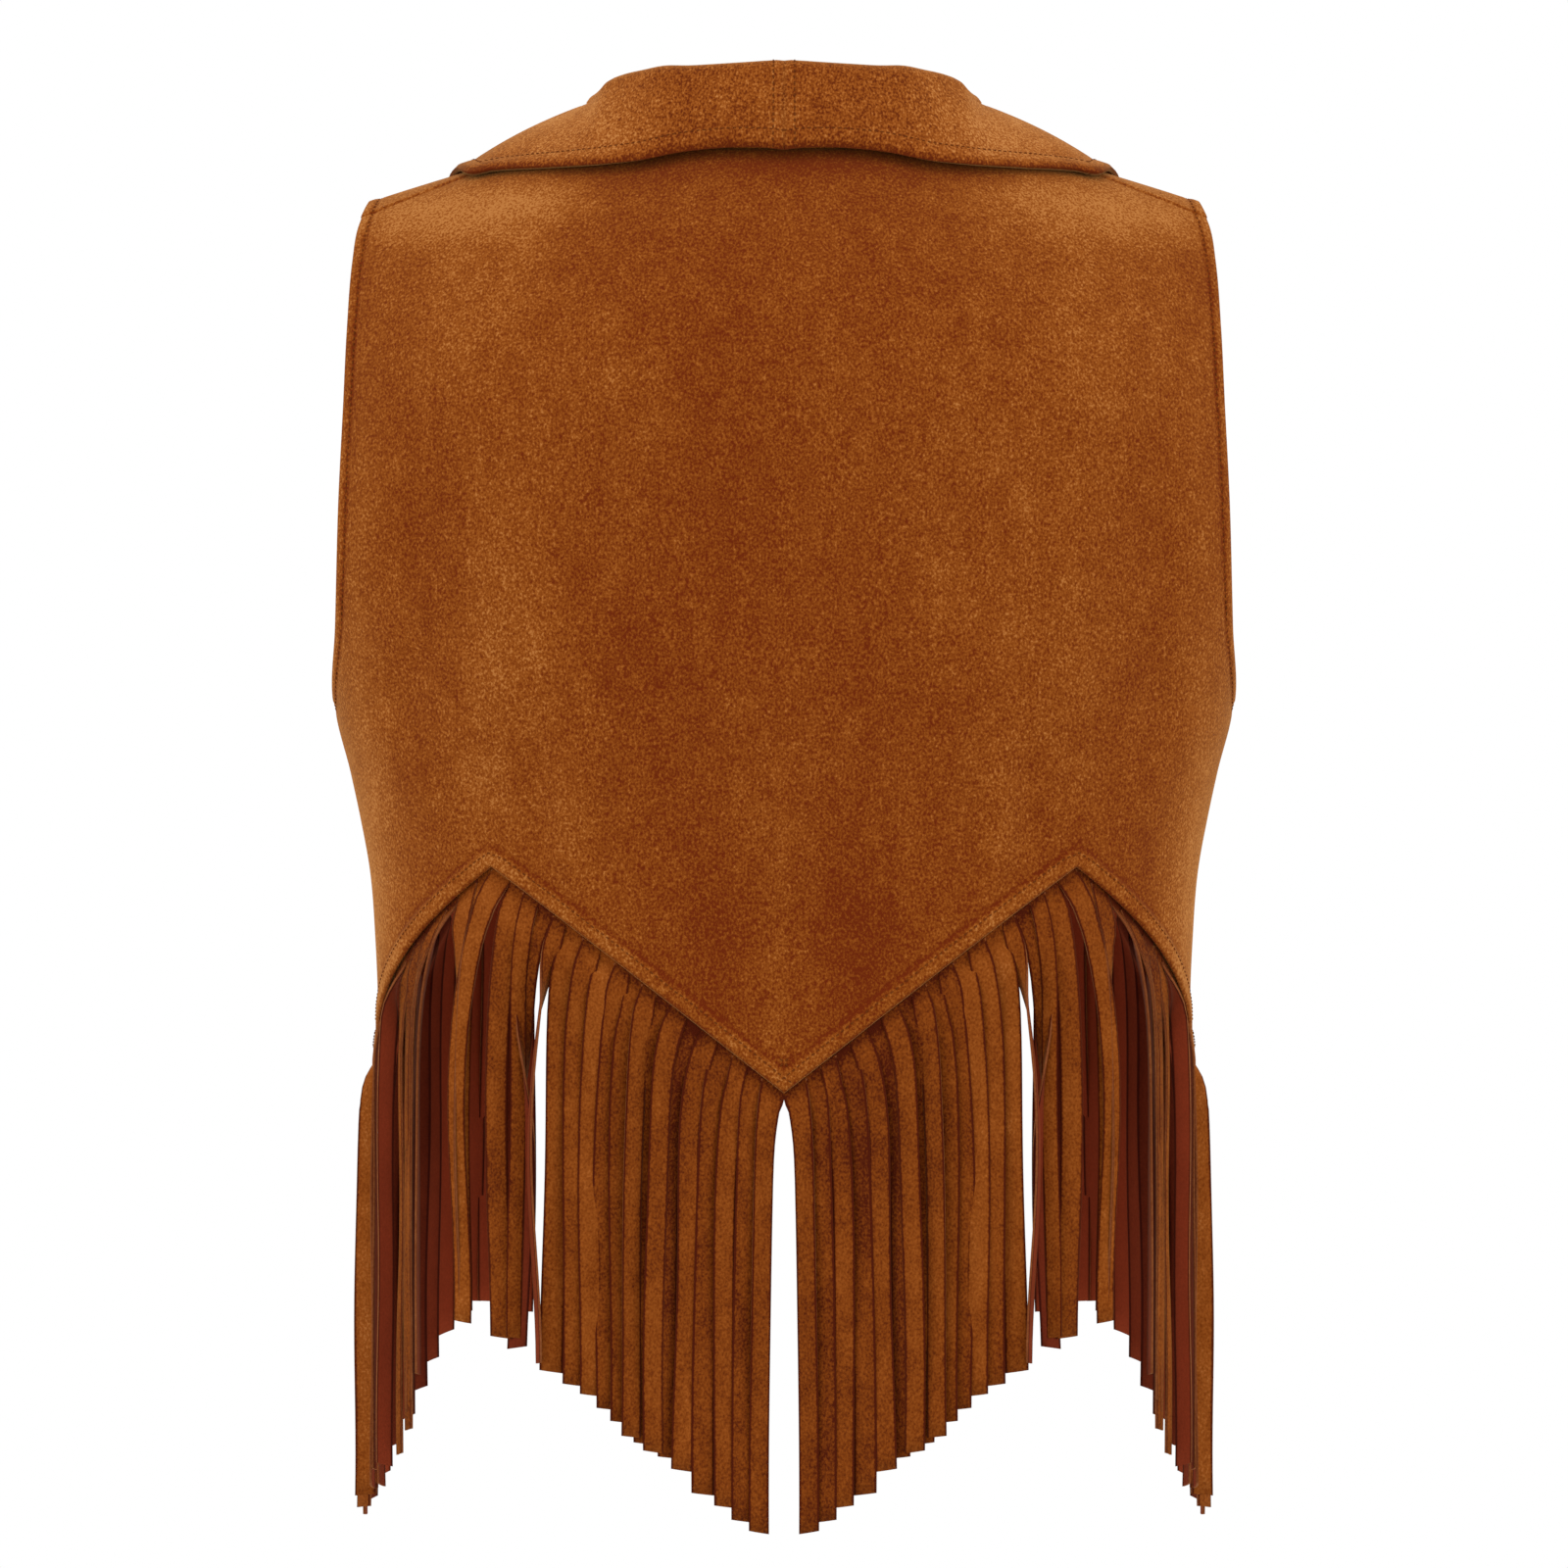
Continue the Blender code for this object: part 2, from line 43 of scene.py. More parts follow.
# The garment's form. Level sections run from the hem up: height, half width at the side seam or back
# armhole edge, half width at the front armhole edge, depth of the back and depth of the front.
form = {
    # neck point, outer end of the shoulder, and how broadly the two slopes meet at the nape
    "neckX": 0.075, "neckZ": -0.003, "shoulderX": 0.1775, "shoulderZ": -0.033, "napeWidth": 0.025,
    # the shoulder seam's place behind the shoulder line, the neckline's depth, and how the panels round in
    "seamBack": 0.006, "neckBack": 0.062, "roundingHeight": 0.14, "roundingPower": 2.2, "sectionPower": 2.4,
    # the armhole's lowest height, the height of its curve, and its deepest point as a share of the depth
    "underarmZ": -0.25, "armCurve": 0.09, "armDepth": 0.52,
    # the back hem's point, its peak with its share of the half width, and the foot of the side seam
    "hemCentreZ": -0.411, "hemPeakZ": -0.317, "hemPeakShare": 0.69, "hemSideZ": -0.392,
    # the front edge's two ends, and how far the front swings out below a height
    "frontTopX": 0.075, "frontHemX": 0.108, "frontHemZ": -0.326, "flare": 0.004, "flareFromZ": -0.33,
    "levelRounds": 6,  # rounds of working out a height from the shoulder line over it
    "sectionNames": ("z", "side", "frontSide", "back", "front"),
    "sections": np.array([
        (-0.44, 0.176, 0.176, 0.093, 0.104), (-0.41, 0.1748, 0.1748, 0.094, 0.1055),
        (-0.378, 0.1738, 0.1738, 0.0955, 0.1075), (-0.35, 0.1748, 0.1748, 0.097, 0.1095),
        (-0.317, 0.1775, 0.1775, 0.0995, 0.1125), (-0.297, 0.1812, 0.1812, 0.101, 0.1145),
        (-0.277, 0.1855, 0.1855, 0.1025, 0.116), (-0.25, 0.192, 0.192, 0.1045, 0.1175),
        (-0.216, 0.19, 0.179, 0.1058, 0.1175), (-0.157, 0.1878, 0.167, 0.106, 0.114),
        (-0.124, 0.1863, 0.165, 0.105, 0.11), (-0.09, 0.1851, 0.166, 0.1025, 0.105),
        (-0.06, 0.1834, 0.17, 0.099, 0.1), (-0.046, 0.1817, 0.173, 0.0975, 0.098),
        (-0.033, 0.1775, 0.1775, 0.0965, 0.0965)]),
    "frontHem": np.array([(0.0, -0.326), (0.3, -0.318), (0.78, -0.41), (1.0, -0.392)]),
}
shoulderSlope = (form["neckZ"] - form["shoulderZ"]) / (
    math.hypot(form["shoulderX"], form["napeWidth"]) - math.hypot(form["neckX"], form["napeWidth"]))


# A cubic through the values at the knots, flat beyond its ends.
def smooth(at, knots, values):
    slopes = np.gradient(values, knots)
    at = np.clip(at, knots[0], knots[-1])
    i = np.clip(np.searchsorted(knots, at) - 1, 0, len(knots) - 2)
    span = knots[i + 1] - knots[i]
    t = (at - knots[i]) / span
    return ((2 * t**3 - 3 * t**2 + 1) * values[i] + (t**3 - 2 * t**2 + t) * span * slopes[i]
            + (3 * t**2 - 2 * t**3) * values[i + 1] + (t**3 - t**2) * span * slopes[i + 1])


# 0 before low, 1 after high and an even S between them.
def ease(value, low, high):
    t = np.clip((value - low) / (high - low), 0, 1)
    return t * t * (3 - 2 * t)


# A vector's direction, v / |v|.
def unit(v):
    return v / np.maximum(np.linalg.norm(v, axis=-1, keepdims=True), 1e-12)


# Points of a line by the distance run along it.
def pointsAt(s, along, line):
    return np.stack([np.interp(s, along, line[:, k]) for k in range(3)], axis=-1)


# One column of the sections at a height, on a smooth curve through the rows.
def section(name, z):
    rows = form["sections"]
    return smooth(z, rows[:, 0], rows[:, form["sectionNames"].index(name)])


# Height of the shoulders over x: it falls evenly from the neck, rounded over at the nape.
def shoulderLine(x):
    return form["neckZ"] - shoulderSlope * (
        np.hypot(x, form["napeWidth"]) - math.hypot(form["neckX"], form["napeWidth"]))


# Depth of the level superellipse: depth * (1 - (x / half width)^p)^(1/p); over the underarm the half
# width grows so that the armhole edge stands at its own share of the depth.
def fullDepth(x, z, face):
    p = form["sectionPower"]
    risen = np.clip((z - form["underarmZ"]) / form["armCurve"], 0, 1)
    share = form["armDepth"] * np.sqrt(1 - (1 - risen) ** 2)
    halfWidth = section("side" if face == "back" else "frontSide", z) / (1 - share**p) ** (1 / p)
    across = np.clip(np.abs(x) / halfWidth, 0, 1)
    return section(face, z) * (1 - across**p) ** (1 / p)


# Share of the full depth left under the shoulder: (1 - (1 - u)^p)^(1/p), u from 0 on its line to 1 far below.
def rounding(x, z):
    p = form["roundingPower"]
    u = np.clip((shoulderLine(x) - z) / form["roundingHeight"], 0, 1)
    return (1 - (1 - u) ** p) ** (1 / p)


# Depth of the body: the full depth, rounded in under the shoulder.
def bodyDepth(x, z, face):
    return fullDepth(x, z, face) * rounding(x, z)


# x of a panel from its inner edge (0) to the side seam or armhole edge (1), by the sine of the share.
def backAcross(share, z):
    return section("side", z) * np.sin(share * math.pi / 2)


# The front edge runs straight from the neck point to the hem.
def frontEdgeX(z):
    return np.interp(z, (form["frontHemZ"], form["neckZ"]), (form["frontHemX"], form["frontTopX"]))


def frontAcross(share, z):
    inner = frontEdgeX(z)
    return inner + (section("frontSide", z) - inner) * np.sin(share * math.pi / 2)


# The back hem rises straight in x from the centre point to its peak, and then falls evenly to the side seam.
def backHem(share):
    peak = math.asin(form["hemPeakShare"]) * 2 / math.pi
    rising = np.sin(share * math.pi / 2) / form["hemPeakShare"]
    falling = (share - peak) / (1 - peak)
    return np.where(share < peak, form["hemCentreZ"] + (form["hemPeakZ"] - form["hemCentreZ"]) * rising,
                    form["hemPeakZ"] + (form["hemSideZ"] - form["hemPeakZ"]) * falling)


# The front hem runs straight between its corners.
def frontHem(share):
    return np.interp(share, form["frontHem"][:, 0], form["frontHem"][:, 1])


# The front swings out towards the point of its hem: flare * drop^2 * sin(pi share^2).
def frontFlare(share, z):
    drop = np.clip((form["flareFromZ"] - z) / (form["flareFromZ"] - form["hemSideZ"]), 0, 1.3)
    return form["flare"] * drop**2 * np.sin(np.clip(share, 0, 1) ** 2 * math.pi)


# How far behind the shoulder line the panel's top edge lies: the shoulder seam, or the round neckline.
def topDepth(x, face):
    if face == "front":
        return np.full_like(x, form["seamBack"])
    neckline = form["neckBack"] * np.sqrt(np.clip(1 - (x / form["neckX"]) ** 2, 0, 1))
    return np.maximum(form["seamBack"], neckline)


# A panel's outer face: for each share across, rows go up from the hem to where the shoulder starts to
# round in, and then turn over the shoulder by an angle until the top edge.
def panelGrid(face, shares, lowRows, turnRows):
    across = backAcross if face == "back" else frontAcross
    hem = (backHem if face == "back" else frontHem)(shares)
    sign = 1 if face == "back" else -1
    power = 2 / form["roundingPower"]
    height = form["roundingHeight"]
    start = np.full_like(shares, form["shoulderZ"] - height)
    for _ in range(form["levelRounds"]):
        start = shoulderLine(across(shares, start)) - height
    z = hem + (start - hem) * lowRows[:, None]
    x = across(shares, z)
    y = sign * fullDepth(x, z, face)
    if face == "front":
        x = x + frontFlare(shares, z)
    low = np.stack([x, y, z], axis=2)

    topX = across(shares, np.full_like(shares, form["shoulderZ"]))
    edge = np.clip(topDepth(topX, face) / fullDepth(topX, shoulderLine(topX), "back"), 0, 1)
    end = np.arcsin(edge ** (1 / power)) * sign
    turn = math.pi / 2 + (end - math.pi / 2) * turnRows[:, None]
    drop = height * (1 - np.clip(np.cos(turn), 0, 1) ** power)
    z = shoulderLine(topX) - drop
    for _ in range(form["levelRounds"]):
        z = shoulderLine(across(shares, z)) - drop
    x = across(shares, z)
    swing = np.abs(np.sin(turn)) ** power
    y = np.where(turn > 0, sign * fullDepth(x, z, face), fullDepth(x, z, "back")) * swing
    return np.concatenate([low, np.stack([x, y, z], axis=2)])


# Unit normals of a grid, the cross product of its two directions.
def gridNormals(points, sign):
    down, along = np.gradient(points, axis=0), np.gradient(points, axis=1)
    return unit(np.cross(along, down) * sign)


# Distance from points to an open line: over its parts the least |p - (a + (b - a) * t)|, t from 0 to 1.
def fromLine(points, line):
    flat = points.reshape(-1, 3)
    a, run = line[:-1], np.diff(line, axis=0)
    square = np.maximum((run**2).sum(1), 1e-16)
    t = np.clip((flat @ run.T - (a * run).sum(1)) / square, 0, 1)
    away = sum((flat[:, k, None] - a[:, k] - run[:, k] * t) ** 2 for k in range(3))
    return np.sqrt(away.min(axis=1)).reshape(points.shape[:-1])


# Soft ridges or troughs along lines in x and z: height * exp(-(distance / width)^2), fading to both ends.
def foldRelief(points, folds):
    rows = np.array(folds)
    p = points[..., None, [0, 2]]
    a, b = rows[:, 0:2], rows[:, 2:4]
    along = ((p - a) * (b - a)).sum(-1) / ((b - a) ** 2).sum(-1)
    t = np.clip(along, 0, 1)
    away = np.linalg.norm(p - (a + (b - a) * t[..., None]), axis=-1)
    fade = ease(t, 0, 0.35) * (1 - ease(t, 0.6, 1)) * 0.9 + 0.1
    return (rows[:, 5] * np.exp(-((away / rows[:, 4]) ** 2)) * fade).sum(-1)


# Patches of lighter (+) or darker (-) tone, some of them painted sheen and some painted shade: sum of amount
# * exp(-(dx / width)^2 - (dz / height)^2).
def toneAndLightPatches(points, patches):
    rows = np.array(patches)
    dx = (points[..., None, 0] - rows[:, 0]) / rows[:, 2]
    dz = (points[..., None, 2] - rows[:, 1]) / rows[:, 3]
    return (rows[:, 4] * np.exp(-dx**2 - dz**2)).sum(-1)


# A narrow trough along an edge or seam: -depth * exp(-((distance - at) / width)^2).
def groove(distance, at, width, depth):
    return -depth * np.exp(-(((distance - at) / width) ** 2))


# Faces between the neighbours of a grid, with the two sides of each crossing in order.
def gridFaces(rows, columns, flip):
    i, j = np.meshgrid(np.arange(rows - 1), np.arange(columns - 1), indexing="ij")
    a = (i * columns + j).ravel()
    faces = np.stack([a, a + 1, a + columns + 1, a + columns], axis=1)
    return faces[:, ::-1] if flip else faces


# The same points on the other side of X = 0.
def mirrored(points):
    return points * np.array([-1.0, 1.0, 1.0])


# Puts points and four-sided faces into a new object on the root body.
def addPiece(name, points, faces, materials, node=None, toneAndLight=None):
    mesh = bpy.data.meshes.new(name)
    mesh.vertices.add(len(points))
    mesh.vertices.foreach_set("co", np.ascontiguousarray(points, np.float32).ravel())
    mesh.loops.add(faces.size)
    mesh.loops.foreach_set("vertex_index", np.ascontiguousarray(faces, np.int32).ravel())
    mesh.polygons.add(len(faces))
    mesh.polygons.foreach_set("loop_start", np.arange(0, faces.size, 4, dtype=np.int32))
    mesh.update(calc_edges=True)
    mesh.shade_smooth()
    for material in materials:
        mesh.materials.append(material)
    # The piece's tone, with its painted highlights and painted shade, as an attribute.
    if toneAndLight is not None:
        mesh.attributes.new("toneAndLight", "FLOAT", "POINT").data.foreach_set("value", toneAndLight.astype(np.float32).ravel())
    piece = bpy.data.objects.new(name, mesh)
    bpy.context.scene.collection.objects.link(piece)
    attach(piece, "root")
    if node:
        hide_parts(node)
    return piece


# The cloth's thickness, inwards from the outer face. Wrong side and cut edge may have their own materials.
def giveWall(piece, wall, wrongSlot=1, edgeSlot=0):
    solid = piece.modifiers.new("wall", "SOLIDIFY")
    solid.thickness = wall
    solid.offset = -1
    solid.use_quality_normals = True
    solid.material_offset = wrongSlot
    solid.material_offset_rim = edgeSlot


# One side's area of a grid, as half the cross product of each square's diagonals.
def gridArea(points):
    a, b = points[1:, 1:] - points[:-1, :-1], points[1:, :-1] - points[:-1, 1:]
    return float(np.linalg.norm(np.cross(a, b), axis=2).sum() / 2)


print("form ready")

# Materials. Each cloth has four tones, how strong its patches, mottling and grain are, its sheen and relief.
look = {
    "names": ("dark", "mid", "light", "pale", "patch", "mottle", "grain", "sheen", "bump"),
    # the cloth's pale tone is what its painted sheen on the shoulders and lower sides tends towards
    "cloth": ((0.112, 0.0132, 0.0014), (0.17, 0.0362, 0.0028), (0.245, 0.065, 0.0078), (0.36, 0.132, 0.031),
              0.46, 0.42, 2.1, 0.3, 0.35),
    # the collar's suede is kept lighter than the panels' as painted sheen
    "collar": ((0.095, 0.013, 0.0016), (0.19, 0.043, 0.004), (0.275, 0.077, 0.011), (0.4, 0.155, 0.04),
               0.46, 0.42, 2.3, 0.3, 0.35),
    # the fringe's dark tone is the colour its painted shadow lines reach
    "fringe": ((0.056, 0.0064, 0.0014), (0.16, 0.0345, 0.0031), (0.24, 0.062, 0.008), (0.35, 0.12, 0.028),
               0.6, 0.5, 1.05, 0.12, 0.35),
    "wrong": ((0.05, 0.0066, 0.003), (0.158, 0.0235, 0.0078), (0.265, 0.039, 0.013), (0.31, 0.058, 0.021),
              0.3, 0.2, 0.25, 0.05, 0.15),
    "thread": ((0.055, 0.011, 0.0022), (0.112, 0.026, 0.0044), (0.165, 0.043, 0.008), (0.2, 0.06, 0.014),
               0.1, 0.3, 0.3, 0.0, 0.2),
    "cut": ((0.11, 0.024, 0.007), (0.175, 0.048, 0.014), (0.235, 0.08, 0.026), (0.3, 0.12, 0.045),
            0.2, 0.4, 0.8, 0.15, 0.2),
    "tones": {"dark": 0.05, "mid": 0.4, "light": 0.72, "pale": 1.0},  # their places on the ramp
    "noise": {"patch": (17, 0.42), "mottle": (105, 0.6), "grain": (1050, 0.8)},  # fineness, upright stretch
    "detail": 2, "noiseRoughness": 0.55, "grainHeight": 0.0006,
    "roughness": 0.92, "shine": 0.04, "sheenRoughness": 0.45, "sheenTint": (1.0, 0.54, 0.17),
}


# Suede: colour = ramp(mid + large upright patches + small mottling + grain + the piece's own tone with its
# painted highlights and painted shade).
# The grain also lifts the surface a little.
def suede(name, kind, takesToneAndLight=True, **changed):
    values = {**dict(zip(look["names"], look[kind])), **changed}
    material = bpy.data.materials.new(name)
    material.use_nodes = True
    tree = material.node_tree

    # Each input is a value or another node's output.
    def feed(node, inputs):
        for key, value in inputs.items():
            if isinstance(value, bpy.types.NodeSocket):
                tree.links.new(value, node.inputs[key])
            else:
                node.inputs[key].default_value = value
        return node

    def made(kind, inputs, operation=None):
        node = tree.nodes.new(f"ShaderNode{kind}")
        if operation:
            node.operation = operation
        return feed(node, inputs)

    place = made("TexCoord", {}).outputs["Object"]
    total = look["tones"]["mid"] - (values["patch"] + values["mottle"] + values["grain"]) / 2
    for layer, (fineness, stretch) in look["noise"].items():
        drawnOut = made("Mapping", {"Vector": place, "Scale": (1, 1, stretch)}).outputs["Vector"]
        noise = made("TexNoise", {"Vector": drawnOut, "Scale": fineness, "Detail": look["detail"],
                                  "Roughness": look["noiseRoughness"]}).outputs["Fac"]
        total = made("Math", {0: noise, 1: values[layer], 2: total}, "MULTIPLY_ADD").outputs[0]
    # Adds the piece's own tone, with its painted highlights and painted shade.
    if takesToneAndLight:
        toneAndLight = made("Attribute", {})
        toneAndLight.attribute_name = "toneAndLight"
        total = made("Math", {0: toneAndLight.outputs["Fac"], 1: total}, "ADD").outputs[0]
    ramp = made("ValToRGB", {"Fac": total})
    for end, tone in ((0, "dark"), (1, "pale")):
        ramp.color_ramp.elements[end].position = look["tones"][tone]
        ramp.color_ramp.elements[end].color = (*values[tone], 1)
    for tone in ("mid", "light"):
        ramp.color_ramp.elements.new(look["tones"][tone]).color = (*values[tone], 1)
    # The last noise is the grain.
    relief = made("Bump", {"Strength": values["bump"], "Distance": look["grainHeight"], "Height": noise})
    feed(tree.nodes["Principled BSDF"], {
        "Base Color": ramp.outputs["Color"], "Normal": relief.outputs["Normal"],
        "Roughness": look["roughness"], "Specular IOR Level": look["shine"],
        "Sheen Weight": values["sheen"], "Sheen Roughness": look["sheenRoughness"],
        "Sheen Tint": (*look["sheenTint"], 1)})
    return material


panelSuede = suede("panel suede", "cloth")
collarSuedeWithPaintedSheen = suede("collar suede", "collar")
fringeSuede = suede("fringe suede", "fringe")
cutEdge = suede("cut edge", "cut", takesToneAndLight=False)
fringeWrong = suede("fringe wrong side", "wrong", patch=0.2, mottle=0.15)
wrongSide = suede("wrong side", "wrong", takesToneAndLight=False)
sewingThread = suede("sewing thread", "thread", takesToneAndLight=False)
print("materials ready")

# Stitching
stitch = {"long": 0.0017, "wide": 0.0006, "high": 0.00028, "pitch": 0.0026, "sink": 0.00005}


# A line on the surface at one distance from its edge: edge + distance * (surface normal x edge), set down on
# the nearest point's level and lifted. At a corner the overrun is left out.
def insetLine(edge, edgeNormals, points, normals, distance, way, lift=0.0):
    line = edge + way * distance * np.cross(edgeNormals, unit(np.gradient(edge, axis=0)))
    line = line[fromLine(line, edge) > distance * 0.97]
    flat, flatNormals = points.reshape(-1, 3), normals.reshape(-1, 3)
    near = ((line[:, None] - flat) ** 2).sum(-1).argmin(axis=1)
    normal = flatNormals[near]
    return line - (((line - flat[near]) * normal).sum(1, keepdims=True) - lift) * normal, normal


# Stitches along a line: each is a six-sided ring swept over its length, thin at both ends where it dives into
# the cloth: centre + along * u * long / 2 + fat * (side * cos(turn) * wide / 2 + normal * sin(turn) * high).
def stitchRow(line, normals):
    steps = np.linalg.norm(np.diff(line, axis=0), axis=1)
    arc = np.concatenate([[0], np.cumsum(steps)])
    count = max(int(arc[-1] / stitch["pitch"]), 1)
    places = (np.arange(count) + 0.5) * arc[-1] / count
    centre, normal = pointsAt(places, arc, line), pointsAt(places, arc, normals)
    probe = 0.0004
    along = unit(pointsAt(places + probe, arc, line) - pointsAt(places - probe, arc, line))
    normal = unit(normal - (normal * along).sum(1, keepdims=True) * along)
    side = np.cross(normal, along)
    u = np.array([-1.0, -0.72, 0.0, 0.72, 1.0])
    fat = np.array([0.15, 0.85, 1.0, 0.85, 0.15])
    turn = np.arange(6) * math.pi / 3
    arch = (fat - 0.6) * stitch["high"]
    lengthwise = (u * stitch["long"] / 2)[None, :, None, None]
    sideways = (fat[:, None] * np.cos(turn) * stitch["wide"] / 2)[None, :, :, None]
    upwards = fat[:, None] * np.sin(turn) * stitch["high"] + arch[:, None] - stitch["sink"]
    points = centre[:, None, None] + along[:, None, None] * lengthwise
    points = points + side[:, None, None] * sideways + normal[:, None, None] * upwards[None, :, :, None]
    each = 6 * len(u)  # points of one stitch
    base = np.arange(count)[:, None, None] * each + np.arange(len(u) - 1)[None, :, None] * 6
    ring = base + np.arange(6)
    after = base + (np.arange(6) + 1) % 6
    faces = np.stack([ring, after, after + 6, ring + 6], axis=-1).reshape(-1, 4)
    ends = np.concatenate([np.arange(count)[:, None] * each + np.array(k) for k in
                           ((5, 4, 1, 0), (4, 3, 2, 1), (24, 25, 28, 29), (25, 26, 27, 28))])
    return points.reshape(-1, 3), np.concatenate([faces, ends])


# All rows of stitches on one piece of cloth, as one object.
def addStitches(name, rows):
    points, faces, start = [], [], 0
    for rowPoints, rowFaces in rows:
        points.append(rowPoints)
        faces.append(rowFaces + start)
        start += len(rowPoints)
    return addPiece(name, np.concatenate(points), np.concatenate(faces), [sewingThread])


# A row on the other side, with its faces turned so that they point outwards again.
def mirroredRow(row):
    return mirrored(row[0]), row[1][:, ::-1]


# A piece of cloth with its stitches on each side, by side: the left one and its mirror image.
def bothSides(kind, materials, half, toneAndLight, rows, wall, wrongSlot):
    pieces = {}
    for side, points, sideRows, flip in (
        ("left", half, rows, False), ("right", mirrored(half), [mirroredRow(row) for row in rows], True),
    ):
        faces = gridFaces(*points.shape[:2], flip)
        node = f"{kind}_{side}"
        cloth = addPiece(f"{node}_cloth", points.reshape(-1, 3), faces, materials, node, toneAndLight)
        giveWall(cloth, wall, wrongSlot)
        pieces[side] = cloth, addStitches(f"stitching_{kind}_{side}", sideRows)
    return pieces


# Panels
panel = {
    "wall": 0.0015,
    # heights of the first rows over the hem, close together for its turned edge and stitches
    "hemRows": np.array([0.0, 0.0006, 0.0014, 0.0026, 0.004, 0.0055, 0.007, 0.0082, 0.0092, 0.0102, 0.0112,
                         0.0122, 0.0134, 0.015, 0.0172]),
    "hemStitch": 0.0082, "hemLift": 0.0009, "hemGroove": 0.0005,
    "armStitch": 0.0055, "armLift": 0.0005, "armGroove": 0.0003,
    # painted highlight on the raised hem and armhole bands, painted shade along the stitch grooves and the
    # shoulder seam, and painted shade at the cut edges
    "bandNap": 0.15, "stitchNap": -0.32, "edgeNap": -0.3,
    # the shoulder seam's band on the back: how far under the shoulder line it ends at its inner end, how much
    # more it drops for each metre outwards, the surface's slope there, its inner end and its height
    "shoulderBand": {"drop": 0.0033, "fall": 0.097, "slope": 0.3, "from": 0.14, "height": 0.0007},
    # the crossed stitches: their reach, their height over the hem's point, and their depth's level and lift
    "cross": {"reach": 0.0022, "over": 0.013, "level": -0.4, "lift": 0.0002},
    # x and z of both ends, width, height
    "backFolds": (
        (0.093, -0.255, 0.089, -0.352, 0.0065, 0.0016), (0.104, -0.245, 0.101, -0.33, 0.006, -0.0012),
        (0.076, -0.27, 0.08, -0.345, 0.008, -0.0014), (0.001, -0.27, 0.0, -0.345, 0.006, 0.0011),
        (0.014, -0.25, 0.012, -0.372, 0.009, -0.0013), (0.046, -0.205, 0.055, -0.345, 0.014, -0.0018),
        (0.12, -0.15, 0.112, -0.29, 0.015, 0.002), (0.15, -0.13, 0.16, -0.3, 0.013, -0.0018),
        (0.172, -0.235, 0.14, -0.19, 0.01, 0.0014), (0.176, -0.25, 0.148, -0.3, 0.011, 0.0013),
        (0.15, -0.075, 0.118, -0.15, 0.018, 0.0015), (0.09, -0.11, 0.066, -0.23, 0.02, -0.0016),
        (0.03, -0.14, 0.026, -0.235, 0.018, -0.0012), (0.165, -0.33, 0.16, -0.375, 0.007, 0.0008)),
    "frontFolds": (
        (0.15, -0.215, 0.128, -0.318, 0.012, -0.0016), (0.168, -0.235, 0.15, -0.345, 0.01, 0.0015),
        (0.118, -0.23, 0.121, -0.31, 0.009, -0.0012), (0.172, -0.265, 0.16, -0.385, 0.008, -0.001),
        (0.16, -0.12, 0.156, -0.205, 0.007, 0.0008), (0.14, -0.318, 0.142, -0.362, 0.009, 0.0012)),
    # x, z, width, height, amount
    # on the back, among patches of tone: painted shade under the collar, and painted sheen on the shoulder
    # and down the lower side
    "backNap": (
        (0.124, -0.085, 0.04, 0.055, 0.18), (0.115, -0.19, 0.028, 0.07, 0.16),
        (0.0, -0.3, 0.007, 0.035, 0.02), (0.0, -0.382, 0.01, 0.022, -0.02),
        (0.091, -0.302, 0.01, 0.03, 0.14), (0.0, -0.235, 0.035, 0.05, -0.02),
        (0.062, -0.255, 0.024, 0.04, -0.06), (0.026, -0.345, 0.022, 0.04, -0.22),
        (0.152, -0.165, 0.014, 0.06, -0.04), (0.0, -0.021, 0.072, 0.008, -0.32),
        (0.078, -0.024, 0.024, 0.005, -0.12), (0.146, -0.04, 0.046, 0.014, 0.44),
        (0.104, -0.034, 0.026, 0.01, 0.2), (0.17, -0.345, 0.014, 0.05, 0.34),
        (0.176, -0.29, 0.01, 0.04, 0.18), (0.178, -0.19, 0.016, 0.08, 0.12),
        (0.13, -0.27, 0.03, 0.06, 0.08)),
    "frontNap": (
        (0.125, -0.26, 0.016, 0.04, 0.14), (0.158, -0.29, 0.014, 0.06, -0.12),
        (0.165, -0.35, 0.012, 0.04, 0.16)),
}


# Shares that step evenly between the given stops.
def stops(*parts):
    return np.concatenate([np.linspace(a, b, n, endpoint=False) for a, b, n in parts] + [[parts[-1][1]]])


# The shoulder seam's band on the back: its height above its slanting lower line, and a mask along that line
# for painted shade.
def shoulderBand(points, top):
    band = panel["shoulderBand"]
    x, z = points[..., 0], points[..., 2]
    under = (shoulderLine(x) - z - band["drop"] - band["fall"] * (x - band["from"])) / band["slope"]
    onShoulder = ease(x, 0.1, 0.115)
    raised = band["height"] * (1 - ease(under, -0.0009, 0.0005)) * ease(top, 0, 0.002) * onShoulder
    return raised, groove(under, 0.0004, 0.0008, 1) * onShoulder
